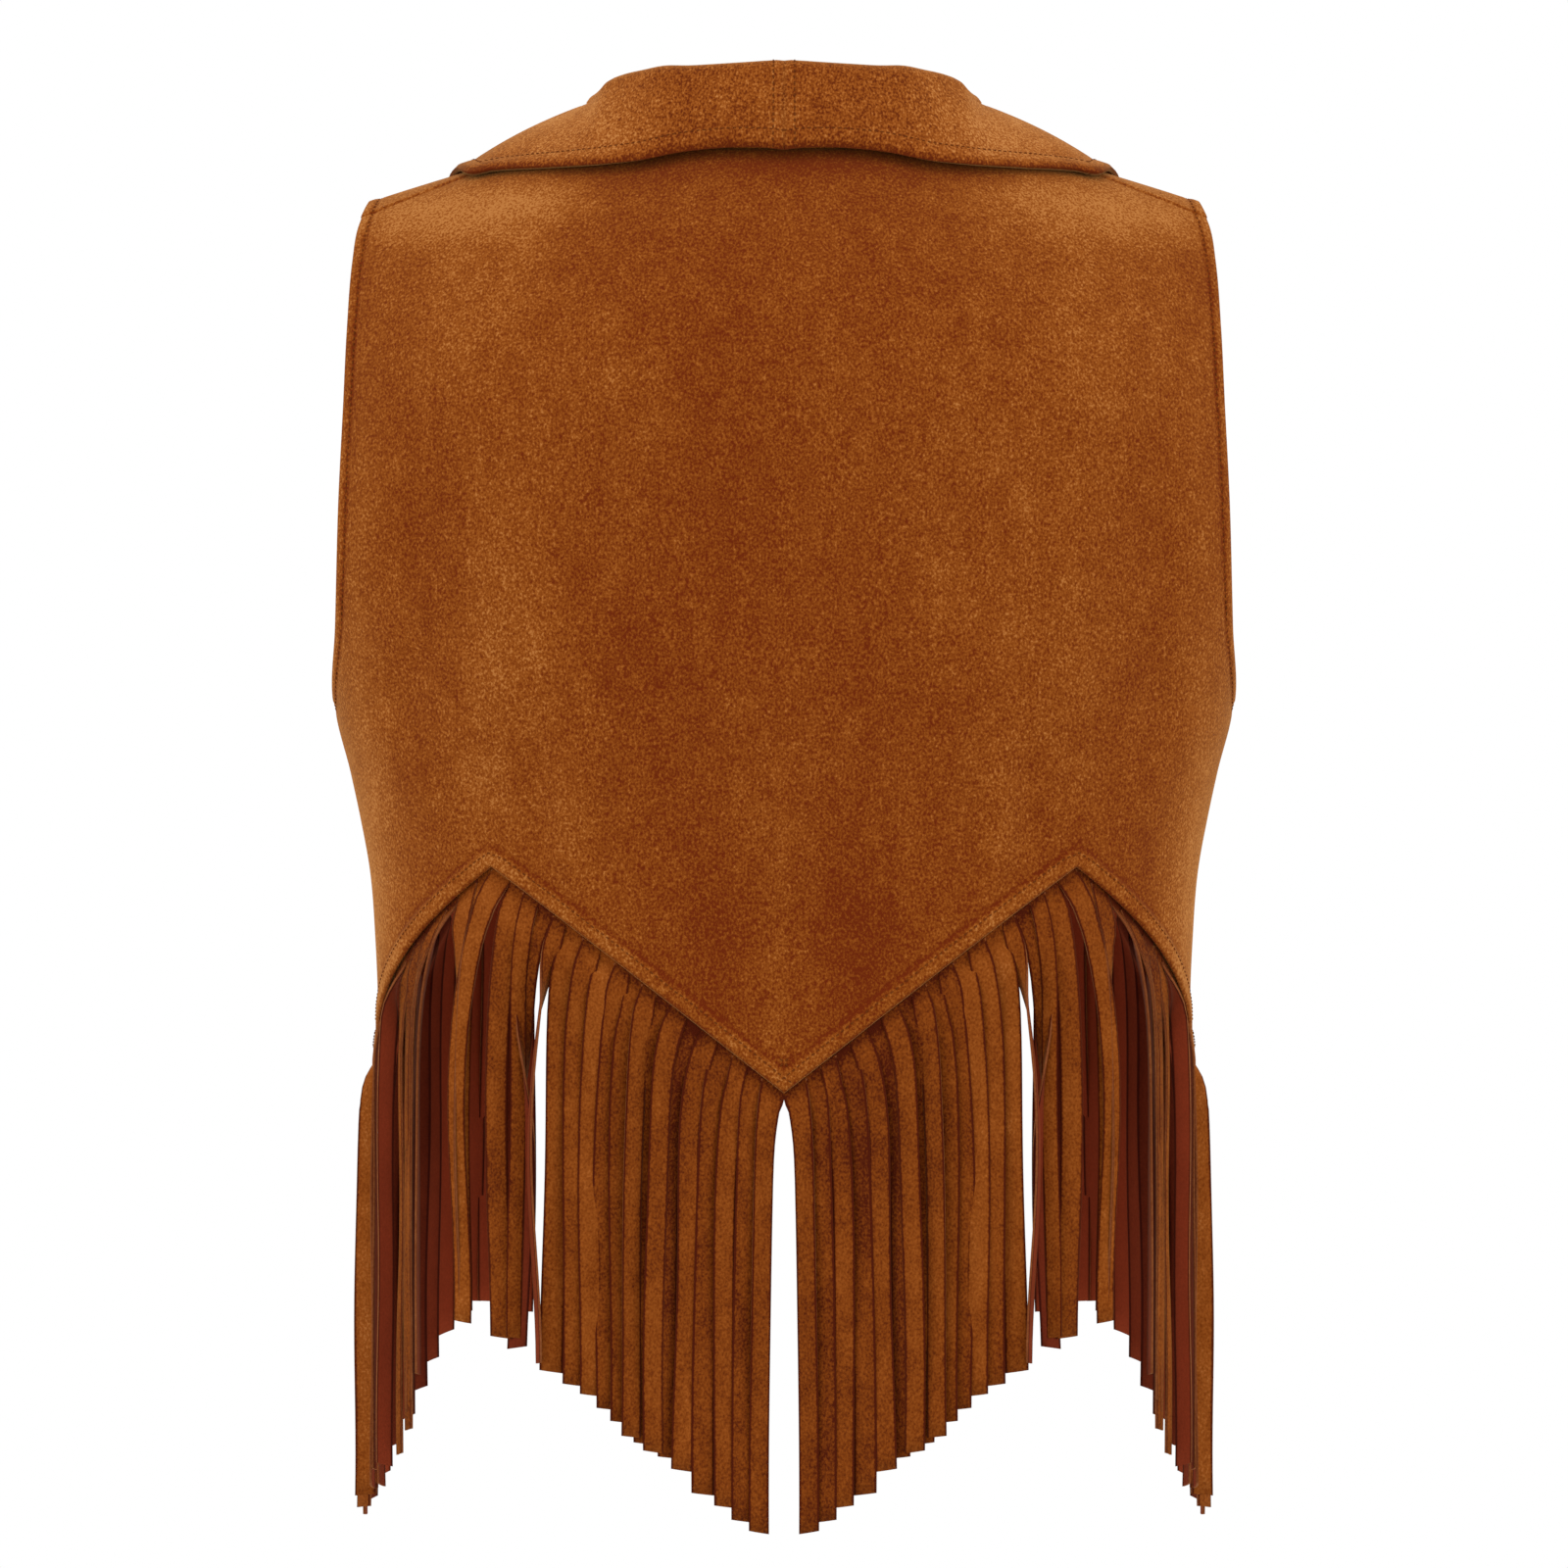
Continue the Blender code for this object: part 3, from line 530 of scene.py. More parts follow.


# Half a panel with its folds, turned hem and armhole edge: outer face + normal * (folds + rolled edges + hem
# band - groove under the stitches); and its tone: patches with painted shade and painted sheen among them, a
# painted highlight on the raised bands, and painted shade along the stitch lines, the back's shoulder seam
# and the edges.
def dressedPanel(face, shares):
    reach = shoulderLine(form["shoulderX"]) - form["roundingHeight"] - form["hemSideZ"]
    underarm = (form["underarmZ"] - form["hemSideZ"]) / reach
    hemRows = panel["hemRows"] / reach
    over = np.linspace(0, 1, 30)[1:] ** 2
    low = np.concatenate([hemRows, stops((hemRows[-1], underarm, 42))[1:], underarm + (1 - underarm) * over])
    points = panelGrid(face, shares, low, stops((0, 0.74, 40), (0.74, 0.98, 60), (0.98, 1, 3))[1:])
    facing = -1 if face == "back" else 1
    normals = gridNormals(points, facing)
    z = points[..., 2]
    hem, side, top = (fromLine(points, edge) for edge in (points[0], points[:, -1], points[-1]))
    overArm = ease(z, form["underarmZ"] + 0.0005, form["underarmZ"] + 0.004)
    away = ease(side, 0.004, 0.022) * ease(top, 0.004, 0.03) * ease(hem, 0.01, 0.022)
    relief = foldRelief(points, panel[f"{face}Folds"]) * away
    if face == "front":
        edge = fromLine(points, points[:, 0])
        relief *= ease(edge, 0.002, 0.012) * 0.9 + 0.1
        relief = np.where(z > -0.3, np.minimum(relief, 0.0007), relief)  # stays under the lapel
        relief += groove(edge, 0, 0.0009, 0.0004)
    relief += panel["hemLift"] * ease(hem, 0, 0.0012) * (1 - ease(hem, 0.0068, 0.0098))
    relief += groove(hem, 0, 0.0008, 0.0004) + groove(hem, panel["hemStitch"], 0.0011, panel["hemGroove"])
    relief += (panel["armLift"] * ease(side, 0, 0.001) * (1 - ease(side, 0.004, 0.0062))
               + groove(side, 0, 0.0008, 0.0004)
               + groove(side, panel["armStitch"], 0.0011, panel["armGroove"])) * overArm
    relief += groove(side, 0, 0.0016, 0.0007) * (1 - overArm) + groove(top, 0, 0.0018, 0.0008)
    seam = np.zeros_like(hem)
    if face == "back":
        raised, seam = shoulderBand(points, top)
        relief += raised
    moved = points + normals * relief[..., None]
    # Painted highlight on the raised hem and armhole bands; painted shade along the stitch lines, the
    # shoulder seam and the cut edges.
    hemBand = ease(hem, 0.0006, 0.0018) * (1 - ease(hem, 0.0066, 0.0084))
    armBand = ease(side, 0.0006, 0.0016) * (1 - ease(side, 0.0042, 0.0056)) * overArm * 0.5
    armLine = groove(side, panel["armStitch"], 0.0011, 1) * overArm
    lines = groove(hem, panel["hemStitch"], 0.0012, 1) + armLine + seam
    edges = groove(hem, 0, 0.0007, 1) + groove(side, 0, 0.0007, 1) + groove(top, 0, 0.0009, 1)
    toneAndLight = toneAndLightPatches(points, panel[f"{face}Nap"]) + panel["bandNap"] * (hemBand + armBand)
    return moved, gridNormals(moved, facing), toneAndLight - panel["stitchNap"] * lines - panel["edgeNap"] * edges


# The rows of stitches over the hem and round the armhole of half a panel.
def panelStitches(points, normals, way):
    arm = points[:, -1, 2] > form["underarmZ"] + 0.0005
    hemRow = insetLine(points[0], normals[0], points, normals, panel["hemStitch"], way)
    armRow = insetLine(points[arm, -1], normals[arm, -1], points, normals, panel["armStitch"], way)
    return [stitchRow(*hemRow), stitchRow(*armRow)]


neckShare = math.asin(form["neckX"] / form["shoulderX"]) * 2 / math.pi
peakShare = math.asin(form["hemPeakShare"]) * 2 / math.pi
backShares = stops((0, neckShare, 26), (neckShare, peakShare, 18), (peakShare, 1, 34))
half, halfNormals, halfToneAndLight = dressedPanel("back", backShares)
whole = np.concatenate([mirrored(half)[:, :0:-1], half], axis=1)
toneAndLight = np.concatenate([halfToneAndLight[:, :0:-1], halfToneAndLight], axis=1)
back = addPiece("back", whole.reshape(-1, 3), gridFaces(*whole.shape[:2], True), [panelSuede, wrongSide],
                "back_panel", toneAndLight)
giveWall(back, panel["wall"])

backRows = panelStitches(half, halfNormals, -1)
cross = panel["cross"]
crossDepth = float(fullDepth(0.0, cross["level"], "back")) + cross["lift"]
crossCentre = np.array([0.0, crossDepth, form["hemCentreZ"] + cross["over"]])
crossArm = cross["reach"] * np.array([[-1, 0, 1], [1, 0, -1]])
crossRows = [stitchRow(crossCentre + crossArm * np.array([way, 1, 1.0]), np.array([[0, 1.0, 0], [0, 1.0, 0]]))
             for way in (1, -1)]
backStitches = addStitches("stitching_back", backRows + [mirroredRow(row) for row in backRows] + crossRows)
print("back ready", round(gridArea(whole), 4))

frontShares = stops((0, 0.3, 12), (0.3, 0.78, 19), (0.78, 1, 10))
frontHalf, frontNormals, frontNap = dressedPanel("front", frontShares)
fronts = bothSides("front", [panelSuede, wrongSide], frontHalf, frontNap,
                   panelStitches(frontHalf, frontNormals, 1), panel["wall"], 1)
print("fronts ready", round(gridArea(frontHalf), 4))

# Collar. Stations run from centre back (0) over the neck point (1) to the lower end of the lapel (2): where
# the fold lies from the seam, and the outer edge by x, by its height under the shoulder line (+ behind, -
# before the shoulder) and by how far it stands off the body.
collar = {
    "names": ("at", "foldX", "foldY", "foldZ", "edgeX", "edgeUnder", "edgeClear"),
    "rows": np.array([
        (0.0, 0.0, -0.006, 0.0335, 0.0003, 0.0288, 0.0065),
        (0.3, 0.0, -0.006, 0.0305, 0.04, 0.0223, 0.0065),
        (0.6, 0.0005, -0.0055, 0.0238, 0.068, 0.0195, 0.006),
        (0.85, -0.0005, -0.003, 0.0146, 0.102, 0.0109, 0.004),
        (0.93, -0.0005, -0.002, 0.014, 0.123, 0.0059, 0.002),
        (0.97, -0.0005, -0.0015, 0.0138, 0.1345, 0.0037, 0.001),
        (1.0, -0.0005, -0.001, 0.0144, 0.1395, 0.0, 0.0),
        (1.08, -0.001, -0.0045, 0.0138, 0.148, -0.017, 0.003),
        (1.2, -0.004, -0.006, 0.009, 0.1525, -0.059, 0.004),
        (1.4, -0.0062, -0.005, 0.003, 0.152, -0.1145, 0.004),
        (1.6, -0.0066, -0.0042, 0.001, 0.145, -0.1715, 0.004),
        (1.8, -0.0064, -0.004, 0.0, 0.132, -0.2303, 0.004),
        (1.93, -0.006, -0.0038, 0.0, 0.118, -0.2724, 0.004),
        (2.0, -0.0056, -0.0036, 0.0, 0.1085, -0.2932, 0.004)]),
    "wall": 0.0022, "endZ": -0.312, "foldRadius": 0.0042, "lapelTurn": 0.8, "lapelTurnOver": 0.25,
    "seamTuck": 0.0008, "clearance": 0.0024, "edgeClearance": 0.0021,
    "crown": 0.0012, "shoulderCrown": 0.0036, "shoulderCrownReach": 0.12,
    "edgeStitch": 0.008, "centreStitch": 0.0045, "stitchGroove": 0.0003, "edgeLift": 0.0005,
    # painted shade at the rolled edge
    "edgeNap": -0.55,
    # columns of the grid: those fixed by the seam, the fold's top, the start of the fall, and up to where the
    # edge is near only through the air; and the rows by centre back
    "fixed": 6, "foldTop": 8, "fall": 15, "farFromEdge": 18, "centreRows": 20,
    "waves": ((0.42, 0.07, 0.0009, 0.01), (0.7, 0.05, 0.0007, 0.008)),  # station, reach, height, edge kept
    # patches of tone; the first is a painted highlight on the upper slope
    "toneAndLight": (  # x, z, width, height, amount
        (0.09, -0.006, 0.034, 0.022, 0.34), (0.04, 0.004, 0.014, 0.03, -0.06),
        (0.0, 0.0, 0.014, 0.03, 0.08), (0.13, -0.12, 0.02, 0.05, 0.1),
        (0.11, -0.22, 0.02, 0.04, -0.1)),
}


# How far points lie outside the body, roughly, as a share of its depth.
def outside(points):
    x, y, z = points[..., 0], points[..., 1], points[..., 2]
    depth = np.maximum(np.where(y >= 0, fullDepth(x, z, "back"), fullDepth(x, z, "front")), 0.004)
    rise = np.clip(1 - (shoulderLine(x) - z) / form["roundingHeight"], 0, None)
    p = form["roundingPower"]
    return ((np.abs(y) / depth) ** p + rise**p) ** (1 / p) - 1


# Moves points out along the body's normal until each clears it.
def lifted(points, clearance):
    step = 0.0005
    for _ in range(4):
        level = outside(points)
        slope = np.stack([(outside(points + step * axis) - level) / step for axis in np.eye(3)], axis=-1)
        size = np.maximum(np.linalg.norm(slope, axis=-1), step)
        lack = np.clip(clearance - level / size, 0, 0.004)
        points = points + slope / size[..., None] * lack[..., None]
    return points


# The collar's seam: round the back neckline for at < 1, then down the front edge.
def seamPoints(at):
    angle = np.minimum(at, 1) * math.pi / 2
    x, y = form["neckX"] * np.sin(angle), form["neckBack"] * np.cos(angle)
    share = np.clip(y / fullDepth(x, shoulderLine(x), "back"), 0, 1)
    turn = np.arcsin(share ** (form["roundingPower"] / 2))
    z = shoulderLine(x) - form["roundingHeight"] * (1 - np.cos(turn) ** (2 / form["roundingPower"]))
    backSeam = np.stack([x, y, z], axis=1)
    turn = np.maximum(at - 1, 0) * math.pi / 2
    z = form["neckZ"] + (collar["endZ"] - form["neckZ"]) * (1 - np.cos(turn))
    x = frontEdgeX(z)
    frontSeam = np.stack([x, -bodyDepth(x, z, "front"), z], axis=1)
    return np.where((at <= 1)[:, None], backSeam, frontSeam)


# The left half of the collar: up the stand from the seam, half round the fold, and down the fall to the edge,
# with a low crown on the fall, higher over the shoulder.
def collarGrid(at):
    rows = collar["rows"]
    value = {name: smooth(at, rows[:, 0], rows[:, k]) for k, name in enumerate(collar["names"]) if k}
    under = rows[:, collar["names"].index("edgeUnder")]
    root = smooth(at, rows[:, 0], np.sign(under) * np.sqrt(np.abs(under)))
    seam = seamPoints(at)
    fold = seam + np.stack([value["foldX"], value["foldY"], value["foldZ"]], axis=1)
    edgeX = value["edgeX"]
    edgeZ = shoulderLine(edgeX) - root**2
    depth = np.where(root > 0, bodyDepth(edgeX, edgeZ, "back"), bodyDepth(edgeX, edgeZ, "front"))
    edge = np.stack([edgeX, np.copysign(depth + value["edgeClear"], root), edgeZ], axis=1)
    seam = seam - unit(fold - seam) * collar["seamTuck"]
    turned = np.clip((at - 1) / collar["lapelTurnOver"], 0, 1)
    facing = math.pi / 2 * np.where(at <= 1, at, 1 + collar["lapelTurn"] * turned)
    height = np.linalg.norm(fold - seam, axis=1, keepdims=True)
    up = (fold - seam) / height
    over = np.stack([np.sin(facing), np.cos(facing), np.zeros_like(at)], axis=1)
    over = unit(over - (over * up).sum(1, keepdims=True) * up)
    radius = collar["foldRadius"]
    middle = seam + (height - radius) * up + radius * over
    stand = seam[:, None] + (up * (height - radius))[:, None] * np.linspace(0, 1, 6)[:-1, None]
    turn = np.linspace(-math.pi / 2, math.pi / 2, 9)[:, None]
    bend = middle[:, None] + radius * (np.cos(turn) * up[:, None] + np.sin(turn) * over[:, None])
    shares = np.concatenate([np.linspace(0, 1, 23)[1:-1], [0.968, 0.984, 1.0]])[:, None]
    fall = bend[:, -1:] + (edge[:, None] - bend[:, -1:]) * shares
    nearShoulder = np.exp(-(((at - 1) / collar["shoulderCrownReach"]) ** 2))[:, None, None]
    crown = (np.sin(shares * math.pi) * collar["crown"]
             + np.sin(shares**0.75 * math.pi) * (collar["shoulderCrown"] * nearShoulder))
    points = np.concatenate([stand, bend, fall + over[:, None] * crown], axis=1)
    fixed, columns = collar["fixed"], points.shape[1]
    nearEdge = ease(np.arange(columns - fixed), columns - 18, columns - 8)
    clearance = collar["clearance"] + (collar["edgeClearance"] - collar["clearance"]) * nearEdge
    points[:, fixed:] = lifted(points[:, fixed:], clearance)
    points[..., 0] = np.maximum(points[..., 0], 0)
    return points


# The left half: grid + normal * (rolled edge + waves - grooves); its tone, with a painted highlight on the
# upper slope and painted shade at the rolled edge; and stitches on the fall's upper face, a wall outside the
# grid.
def dressedCollar(at):
    points = collarGrid(at)
    normals = gridNormals(points, -1)
    away = fromLine(points, points[:, -1])
    away[:, :collar["farFromEdge"]] = 0.05
    centre = np.abs(points[..., 0])
    relief = (collar["edgeLift"] * ease(away, 0, 0.002) * (1 - ease(away, 0.0066, 0.0094))
              + groove(away, 0, 0.0009, 0.0005))
    relief += groove(away, collar["edgeStitch"], 0.0011, collar["stitchGroove"])
    centreSeam = groove(centre, 0, 0.0016, 0.0006)
    centreSeam += groove(centre, collar["centreStitch"], 0.0011, collar["stitchGroove"])
    relief += np.where((at < 0.9)[:, None], centreSeam, 0)
    for station, reach, height, edgeKept in collar["waves"]:
        relief += height * np.exp(-(((at[:, None] - station) / reach) ** 2)) * ease(away, edgeKept, 0.02)
    points = points + normals * relief[..., None]
    points[..., 0] = np.where(at[:, None] == 0, 0, np.maximum(points[..., 0], 0))
    normals = gridNormals(points, -1)
    # Tone patches with a painted highlight, and painted shade along the rolled edge.
    toneAndLight = toneAndLightPatches(points, collar["toneAndLight"]) + collar["edgeNap"] * np.exp(-((away / 0.0017) ** 2))
    fall, top, near = collar["fall"], collar["foldTop"], collar["centreRows"]
    edgeLine = insetLine(points[:, -1], normals[:, -1], points[:, fall:], normals[:, fall:],
                         collar["edgeStitch"], -1, collar["wall"])
    centreLine = insetLine(points[0, top:-1], normals[0, top:-1], points[:near, top:], normals[:near, top:],
                           collar["centreStitch"], -1, collar["wall"])
    return points, toneAndLight, [stitchRow(*edgeLine), stitchRow(*centreLine)]


stations = stops((0, 0.8, 34), (0.8, 1.3, 56), (1.3, 2, 58))
collarHalf, collarToneAndLight, collarRows = dressedCollar(stations)
collars = bothSides("collar", [collarSuedeWithPaintedSheen], collarHalf, collarToneAndLight, collarRows,
                    collar["wall"], 0)
print("collar ready", round(gridArea(collarHalf), 4))

# Fringe. Each row is one strip of the back, from centre back to the side: x at which its root starts and
# ends, x and z of its foot, its width, its turn about its own length in degrees and the length over which it
# turns, how far it stands in front of (+) or behind (-) its neighbours, its sideways bow half way down, how
# long it stays joined to the next one, and its tone.
fringe = {
    # the cloth's thickness, the band's height over the roots and its lower row, how far the roots lie under
    # the hem and behind its face, and by how much the strips overlap
    "wall": 0.001, "tuck": 0.0035, "bandEnd": 0.0008, "rootDrop": 0.0006, "behind": 0.0018,
    "overlap": 0.001,
    # places of the rows down a strip: two of the band, then shares of its length
    "rows": np.concatenate([[-2, -1], [0, 0.006, 0.014, 0.026, 0.042, 0.062, 0.086, 0.115, 0.15],
                            np.linspace(0.2, 1, 17)]),
    "across": np.array([-1.0, -0.87, -0.76, -0.3, 0.3, 0.76, 0.87, 1.0]),
    # painted shadow along each strip's cut edges, where neighbours overlap, and painted shade just under the
    # hem
    "edgeNap": np.array([-0.9, -0.36, 0, 0, 0, -0.04, -0.42, -1.0]), "rootNap": -0.26,
    "leanLength": 0.02, "straight": 0.14, "swingLength": 0.022, "widenOver": 0.01,
    "footSlant": 0.25, "footScatter": 0.0006, "turnScatter": 6, "turnSway": 5,
    "sway": 0.0004, "hollow": 0.0006, "everyOther": 0.0008,
    # how far the fringe swings out, by share of the way round the hem
    "swing": np.array([(0, 0.0), (0.32, 0.0005), (0.56, 0.003), (0.66, 0.0052), (0.8, 0.004), (1, 0.001)]),
    "names": ("start", "end", "foot", "footZ", "wide", "turn", "turnOver", "layer", "bow", "joined", "toneAndLight"),
    "backStrips": (
        (0.0006, 0.0087, 0.0101, -0.5932, 0.0086, 9, 0.022, 0.0, 0.0, 0.0, -0.05),
        (0.0087, 0.0153, 0.0172, -0.5887, 0.0086, 12, 0.022, 0.0004, 0.0002, 0.0, -0.12),
        (0.0153, 0.021, 0.0251, -0.5838, 0.0088, 8, 0.022, 0.0, 0.0, 0.01, -0.01),
        (0.021, 0.0275, 0.0337, -0.5781, 0.0097, 13, 0.022, 0.0002, -0.0004, 0.0, -0.08),
        (0.0275, 0.0344, 0.042, -0.5667, 0.0088, 10, 0.022, -0.0002, -0.0004, 0.0, 0.02),
        (0.0344, 0.0405, 0.049, -0.5626, 0.0088, 18, 0.022, -0.0012, -0.0004, 0.012, -0.14),
        (0.0405, 0.0474, 0.0545, -0.5597, 0.0086, 14, 0.022, 0.0006, -0.0006, 0.0, 0.06),
        (0.0474, 0.0535, 0.0592, -0.5569, 0.0082, 22, 0.022, -0.0014, 0.0008, 0.0, -0.08),
        (0.0535, 0.0588, 0.0628, -0.5528, 0.0084, 12, 0.022, 0.0008, 0.0014, 0.0, 0.04),
        (0.0588, 0.0645, 0.0684, -0.5479, 0.009, 9, 0.022, 0.0, 0.0012, 0.015, 0.0),
        (0.0645, 0.0702, 0.0742, -0.5426, 0.0088, 17, 0.022, -0.0012, 0.0014, 0.0, -0.02),
        (0.0702, 0.0767, 0.0808, -0.5377, 0.0094, 10, 0.022, 0.0006, 0.0006, 0.0, 0.14),
        (0.0767, 0.0836, 0.0881, -0.5328, 0.0092, 12, 0.022, 0.0, 0.0004, 0.0, 0.04),
        (0.0836, 0.0914, 0.0965, -0.5275, 0.0099, 9, 0.022, 0.0002, -0.0006, 0.008, 0.12),
        (0.0914, 0.0962, 0.1006, -0.5226, 0.0072, 116, 0.04, 0.0012, 0.0058, 0.0, 0.02),
        (0.0962, 0.1032, 0.1118, -0.5189, 0.0082, 184, 0.11, -0.0016, -0.003, 0.01, -0.06),
        (0.1032, 0.1089, 0.1118, -0.512, 0.007, 30, 0.03, 0.001, -0.0004, 0.006, 0.05),
        (0.1089, 0.115, 0.1186, -0.514, 0.0096, 5, 0.022, 0.0008, 0.0016, 0.0, 0.06),
        (0.115, 0.1222, 0.1336, -0.5071, 0.0076, 12, 0.03, 0.001, 0.0036, 0.014, 0.14),
        (0.1222, 0.13, 0.1342, -0.503, 0.0072, 30, 0.03, -0.001, 0.003, 0.026, 0.1),
        (0.13, 0.1374, 0.1366, -0.506, 0.0066, -38, 0.03, 0.0, 0.001, 0.012, 0.05),
        (0.1374, 0.143, 0.154, -0.53, 0.0074, -42, 0.022, 0.0, 0.0014, 0.0, -0.04),
        (0.143, 0.1482, 0.156, -0.542, 0.0078, -14, 0.022, 0.001, 0.0006, 0.01, -0.02),
        (0.1482, 0.1524, 0.1574, -0.547, 0.0076, -48, 0.022, -0.0006, 0.0004, 0.0, -0.1),
        (0.1524, 0.157, 0.1568, -0.555, 0.0078, -28, 0.04, 0.0008, 0.0, 0.012, -0.08),
        (0.157, 0.1612, 0.1612, -0.564, 0.0078, -12, 0.03, 0.0, 0.0, 0.008, 0.02),
        (0.1612, 0.1659, 0.1652, -0.57, 0.0072, -100, 0.026, 0.0014, 0.0006, 0.0, 0.06),
        (0.1659, 0.17, 0.1692, -0.579, 0.0078, -46, 0.03, 0.0, 0.0, 0.0, -0.04),
        (0.17, 0.1723, 0.171, -0.574, 0.0078, -30, 0.03, 0.0, 0.0, 0.0, 0.0),
        (0.1723, 0.1734, 0.1726, -0.58, 0.0074, -18, 0.03, 0.0, 0.0, 0.0, 0.03)),
    "front": {
        "pitch": 0.0078, "length": 0.187, "lean": -0.003, "wide": 0.01, "turnOver": 0.022, "layer": 0.0005,
        "bow": 0.0004, "joined": 0.008,
        "turns": (66, 60, 30, -6, -12, -8, -10, -6, -14, -8, -12, -5, -11, -7, -15, -9),
        # each strip's tone in turn, from the side seam; the first ones lighter partly as painted sheen
        "toneAndLightByStrip": (0.24, 0.18, 0.16, 0.26, -0.14, 0.18, -0.16, 0.08, -0.12, 0.03)},
    "endGap": 0.0004,  # left free at each end of a row of strips
}
hemSamples = 500


# The hem's outer line from centre back round the side to the front edge, and the distance run along it.
def hemCurve():
    shares = np.linspace(0, 1, hemSamples)
    z = backHem(shares)
    x = backAcross(shares, z)
    backLine = np.stack([x, fullDepth(x, z, "back"), z], axis=1)
    shares = np.linspace(1, 0, hemSamples)
    z = frontHem(shares)
    x = frontAcross(shares, z)
    frontLine = np.stack([x + frontFlare(shares, z), -fullDepth(x, z, "front"), z], axis=1)
    line = np.concatenate([backLine, frontLine[1:]])
    along = np.concatenate([[0], np.cumsum(np.hypot(*np.diff(line[:, :2], axis=0).T))])
    return along, line


hemAlong, hemLine = hemCurve()
sideSeam = hemAlong[hemSamples - 1]


# The hem's point at a distance from centre back.
def hemAt(s):
    return pointsAt(s, hemAlong, hemLine)


# Strips hang from the hem: the root follows it, and below it the strip's middle moves from root to foot by
# (1 - straight) * (1 - e^(-fall / lean length)) + straight * fall / length, plus a bow and a slight sway.
# Each strip turns about its length and is a little hollow across.
def stripPoints(value, seed):
    rng = np.random.default_rng(seed)
    count = len(value["start"])
    start, end, foot, footZ, wide, turn, turnOver, layer, bow, joined = (
        value[name][:, None, None] for name in fringe["names"][:-1])
    a = fringe["across"]
    rows = fringe["rows"][None, :, None]
    fall = np.clip(rows, 0, 1)
    own = start + (end - start) * (a + 1) / 2
    middle = (start + end) / 2
    rootZ = hemAt(own)[..., 2] - fringe["rootDrop"]
    footZ = footZ + (hemAt(own)[..., 2] - hemAt(middle)[..., 2]) * fringe["footSlant"]
    footZ = footZ + rng.normal(0, fringe["footScatter"], (count, 1, 1))
    z = rootZ + (footZ - rootZ) * fall
    z = np.where(rows == -2, rootZ + fringe["tuck"], z)
    z = np.where(rows == -1, rootZ + fringe["bandEnd"], z)
    dropped = np.maximum(rootZ - z, 0)
    free = ease(dropped, joined, joined + turnOver)
    going = (1 - fringe["straight"]) * (1 - np.exp(-dropped / fringe["leanLength"]))
    going = going + fringe["straight"] * dropped / (rootZ - footZ)
    phase, waves, size = rng.uniform(0, 6.28, (3, count, 1, 1))
    sway = (fringe["sway"] + size * 0.00006) * np.sin(dropped / (0.026 + waves * 0.003) + phase)
    s = middle + (foot - middle) * going + bow * np.sin(fall * math.pi) ** 2
    s = s + sway * ease(dropped, 0.01, 0.05)
    halfWidth = (end - start) / 2 + fringe["overlap"] / 2 * ease(dropped, 0, 0.002)
    halfWidth = halfWidth + (wide / 2 - halfWidth) * ease(dropped, joined, joined + fringe["widenOver"])
    angle = np.radians(turn + rng.normal(0, fringe["turnScatter"], (count, 1, 1))) * free
    angle = angle + np.radians(fringe["turnSway"]) * np.sin(dropped / 0.045 + phase * 2) * free
    swing = np.interp(s / hemAlong[-1], fringe["swing"][:, 0], fringe["swing"][:, 1])
    out = swing * (1 - np.exp(-dropped / fringe["swingLength"]))
    out = out - fringe["behind"] * (1 - ease(dropped, 0, 0.012))
    out = out + layer * free + fringe["sway"] * np.sin(dropped / 0.02 + waves * 3) * free
    everyOther = fringe["everyOther"] * (np.arange(count)[:, None, None] % 2)
    out = out + fringe["hollow"] * (1 - a**2) * free - everyOther * ease(dropped, 0, 0.003)
    base = hemAt(s)
    tangent = unit((hemAt(s + 0.001) - hemAt(s - 0.001))[..., :2])
    sideways = a * halfWidth * np.cos(angle)
    out = out + a * halfWidth * np.sin(angle)
    x = base[..., 0] + tangent[..., 0] * sideways - tangent[..., 1] * out
    y = base[..., 1] + tangent[..., 1] * sideways + tangent[..., 0] * out
    return np.stack([x, y, z + np.zeros_like(x)], axis=-1)


# Faces of all strips, and of the band between two neighbours above their roots.
def stripFaces(count, rows, flip):
    wide = len(fringe["across"])
    own = gridFaces(rows, wide, False)
    faces = (np.arange(count)[:, None, None] * rows * wide + own).reshape(-1, 4)
    i, r = np.meshgrid(np.arange(count - 1), np.arange(2), indexing="ij")
    a = (i * rows + r + 1) * wide - 1
    b = ((i + 1) * rows + r) * wide
    band = np.stack([a, b, b + wide, a + wide], axis=-1).reshape(-1, 4)
    faces = np.concatenate([faces, band])
    return faces[:, ::-1] if flip else faces


# The strips as one piece, each with its own tone, with painted shadow along its cut edges and painted shade
# just under the hem.
def addFringe(name, node, strips, toneAndLight, flip, edgeNap):
    count, rows = strips.shape[:2]
    fall = strips[:, 2, :, 2][:, None] - strips[..., 2]
    tones = toneAndLight[:, None, None] + edgeNap * ease(fall, 0, 0.004)
    tones = tones + fringe["rootNap"] * (1 - ease(fall, 0, 0.006))
    piece = addPiece(name, strips.reshape(-1, 3), stripFaces(count, rows, flip),
                     [fringeSuede, fringeWrong, cutEdge], node, tones)
    giveWall(piece, fringe["wall"], 1, 2)
    return piece, sum(gridArea(strip) for strip in strips)


stripTable = np.array(fringe["backStrips"])
backValue = {name: stripTable[:, k] for k, name in enumerate(fringe["names"])}
for name in ("start", "end", "foot"):
    backValue[name] = np.interp(backValue[name], hemLine[:hemSamples, 0], hemAlong[:hemSamples])
backValue["end"][-1] = sideSeam - fringe["endGap"]
halfStrips = stripPoints(backValue, 4)
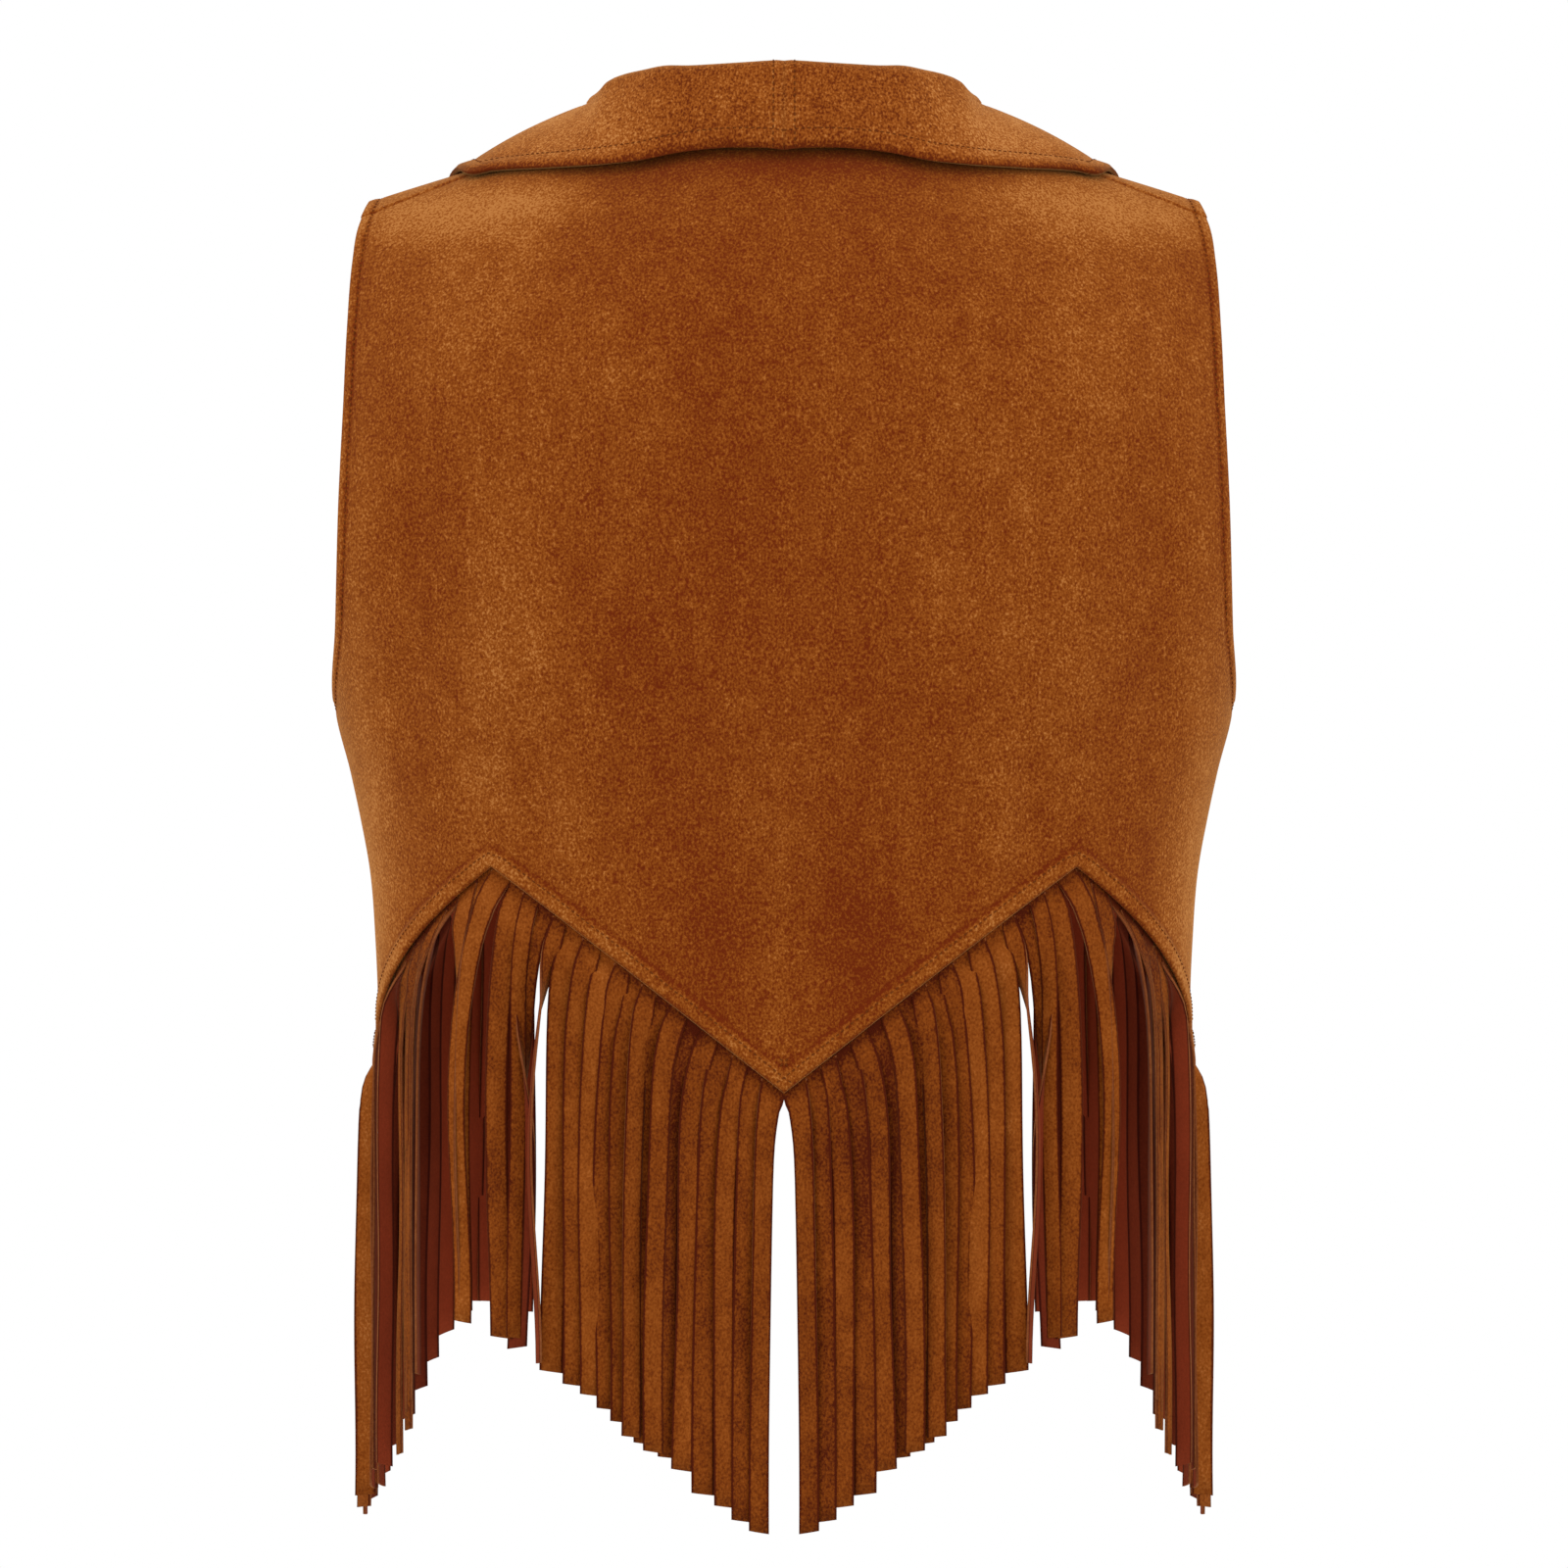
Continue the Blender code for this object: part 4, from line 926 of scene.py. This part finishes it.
# The two middle strips part a little below the hem.
parted = ease(form["hemCentreZ"] - halfStrips[0, :, :2, 2], 0.003, 0.007)
halfStrips[0, :, :2, 0] *= parted + (1 - parted) * np.array([0.0, 0.5])
allStrips = np.concatenate([mirrored(halfStrips)[::-1, :, ::-1], halfStrips])
tones = np.concatenate([backValue["toneAndLight"][::-1], backValue["toneAndLight"]])
# Painted shadow along each strip's cut edges, mirrored for the right half.
edges = np.repeat(np.stack([fringe["edgeNap"][::-1], fringe["edgeNap"]]), len(halfStrips), axis=0)[:, None]
fringeBack, backFringeArea = addFringe("fringe_back_strips", "fringe_back", allStrips, tones, False, edges)

rule = fringe["front"]
run = hemAlong[-1] - sideSeam
count = round(run / rule["pitch"])
run = run - 2 * fringe["endGap"]
cycle = np.arange(count)
starts = sideSeam + fringe["endGap"] + run * cycle / count
ends = starts + run / count
middles = (starts + ends) / 2
frontValue = {
    "start": starts, "end": ends, "foot": middles + rule["lean"],
    "footZ": hemAt(middles)[:, 2] - 0.003 - rule["length"], "wide": np.full(count, rule["wide"]),
    "turn": np.resize(rule["turns"], count), "turnOver": np.full(count, rule["turnOver"]),
    "layer": rule["layer"] * np.sin(cycle * 2.3), "bow": rule["bow"] * np.sin(cycle * 1.7),
    "joined": rule["joined"] * (np.sin(cycle * 3.1) > 0.4), "toneAndLight": np.resize(rule["toneAndLightByStrip"], count),
}
frontStrips = stripPoints(frontValue, 9)
fringeFronts = {}
for side, strips, flip in (("left", frontStrips, False), ("right", mirrored(frontStrips), True)):
    fringeFronts[side], frontFringeArea = addFringe(
        f"fringe_front_{side}_strips", f"fringe_front_{side}", strips, frontValue["toneAndLight"], flip,
        fringe["edgeNap"])
stripCount = (len(stripTable) + count) * 2
print("fringe ready", round(backFringeArea, 4), round(frontFringeArea, 4), "strips", stripCount)

# Floor, light and camera
studio = {
    "floorZ": -1.36, "floorRadius": 6.5, "floorCorners": 96, "floorTone": (0.78, 0.78, 0.77), "white": 1.0,
    "lights": (  # place, size, watts
        ((2.6, 1.2, 0.2), 1.6, 22), ((-2.6, 1.2, 0.2), 1.6, 22),
        ((0.0, 1.6, 2.4), 1.8, 26), ((0.0, -2.6, 0.9), 2.0, 14)),
    "lightsAim": (0, 0, -0.28),
    "away": 3.2, "cameraZ": -0.2822, "sensor": 36, "seen": 0.672,  # the width seen at the origin's distance
}
turn = np.linspace(0, 2 * math.pi, studio["floorCorners"], endpoint=False)
rings = np.stack([np.cos(turn), np.sin(turn)], axis=1) * studio["floorRadius"]
floorMesh = bpy.data.meshes.new("floor")
floorMesh.from_pydata([(x, y, studio["floorZ"]) for x, y in rings], [], [tuple(range(len(rings)))])
floor = bpy.data.objects.new("floor", floorMesh)
bpy.context.scene.collection.objects.link(floor)
pale = bpy.data.materials.new("pale floor")
pale.use_nodes = True
paleShader = pale.node_tree.nodes["Principled BSDF"]
paleShader.inputs["Base Color"].default_value = (*studio["floorTone"], 1)
paleShader.inputs["Roughness"].default_value = 0.7
floorMesh.materials.append(pale)

world = bpy.data.worlds.new("studio")
world.use_nodes = True
world.node_tree.nodes["Background"].inputs["Color"].default_value = (1, 1, 1, 1)
world.node_tree.nodes["Background"].inputs["Strength"].default_value = studio["white"]
bpy.context.scene.world = world
for number, (place, size, watts) in enumerate(studio["lights"]):
    light = bpy.data.lights.new(f"softbox{number}", "AREA")
    light.size = size
    light.energy = watts
    lamp = bpy.data.objects.new(f"softbox{number}", light)
    lamp.location = place
    x, y, z = np.array(place) - np.array(studio["lightsAim"])
    lamp.rotation_euler = (math.atan2(math.hypot(x, y), z), 0, math.atan2(x, -y))
    bpy.context.scene.collection.objects.link(lamp)

camera = bpy.data.objects.new("camera", bpy.data.cameras.new("camera"))
camera.location = (0, studio["away"], studio["cameraZ"])
camera.rotation_euler = (math.radians(90), 0, math.radians(180))
camera.data.sensor_width = studio["sensor"]
camera.data.lens = studio["sensor"] * studio["away"] / studio["seen"]
bpy.context.scene.collection.objects.link(camera)
bpy.context.scene.camera = camera
bpy.context.scene.view_settings.view_transform = "Standard"
print("studio ready")
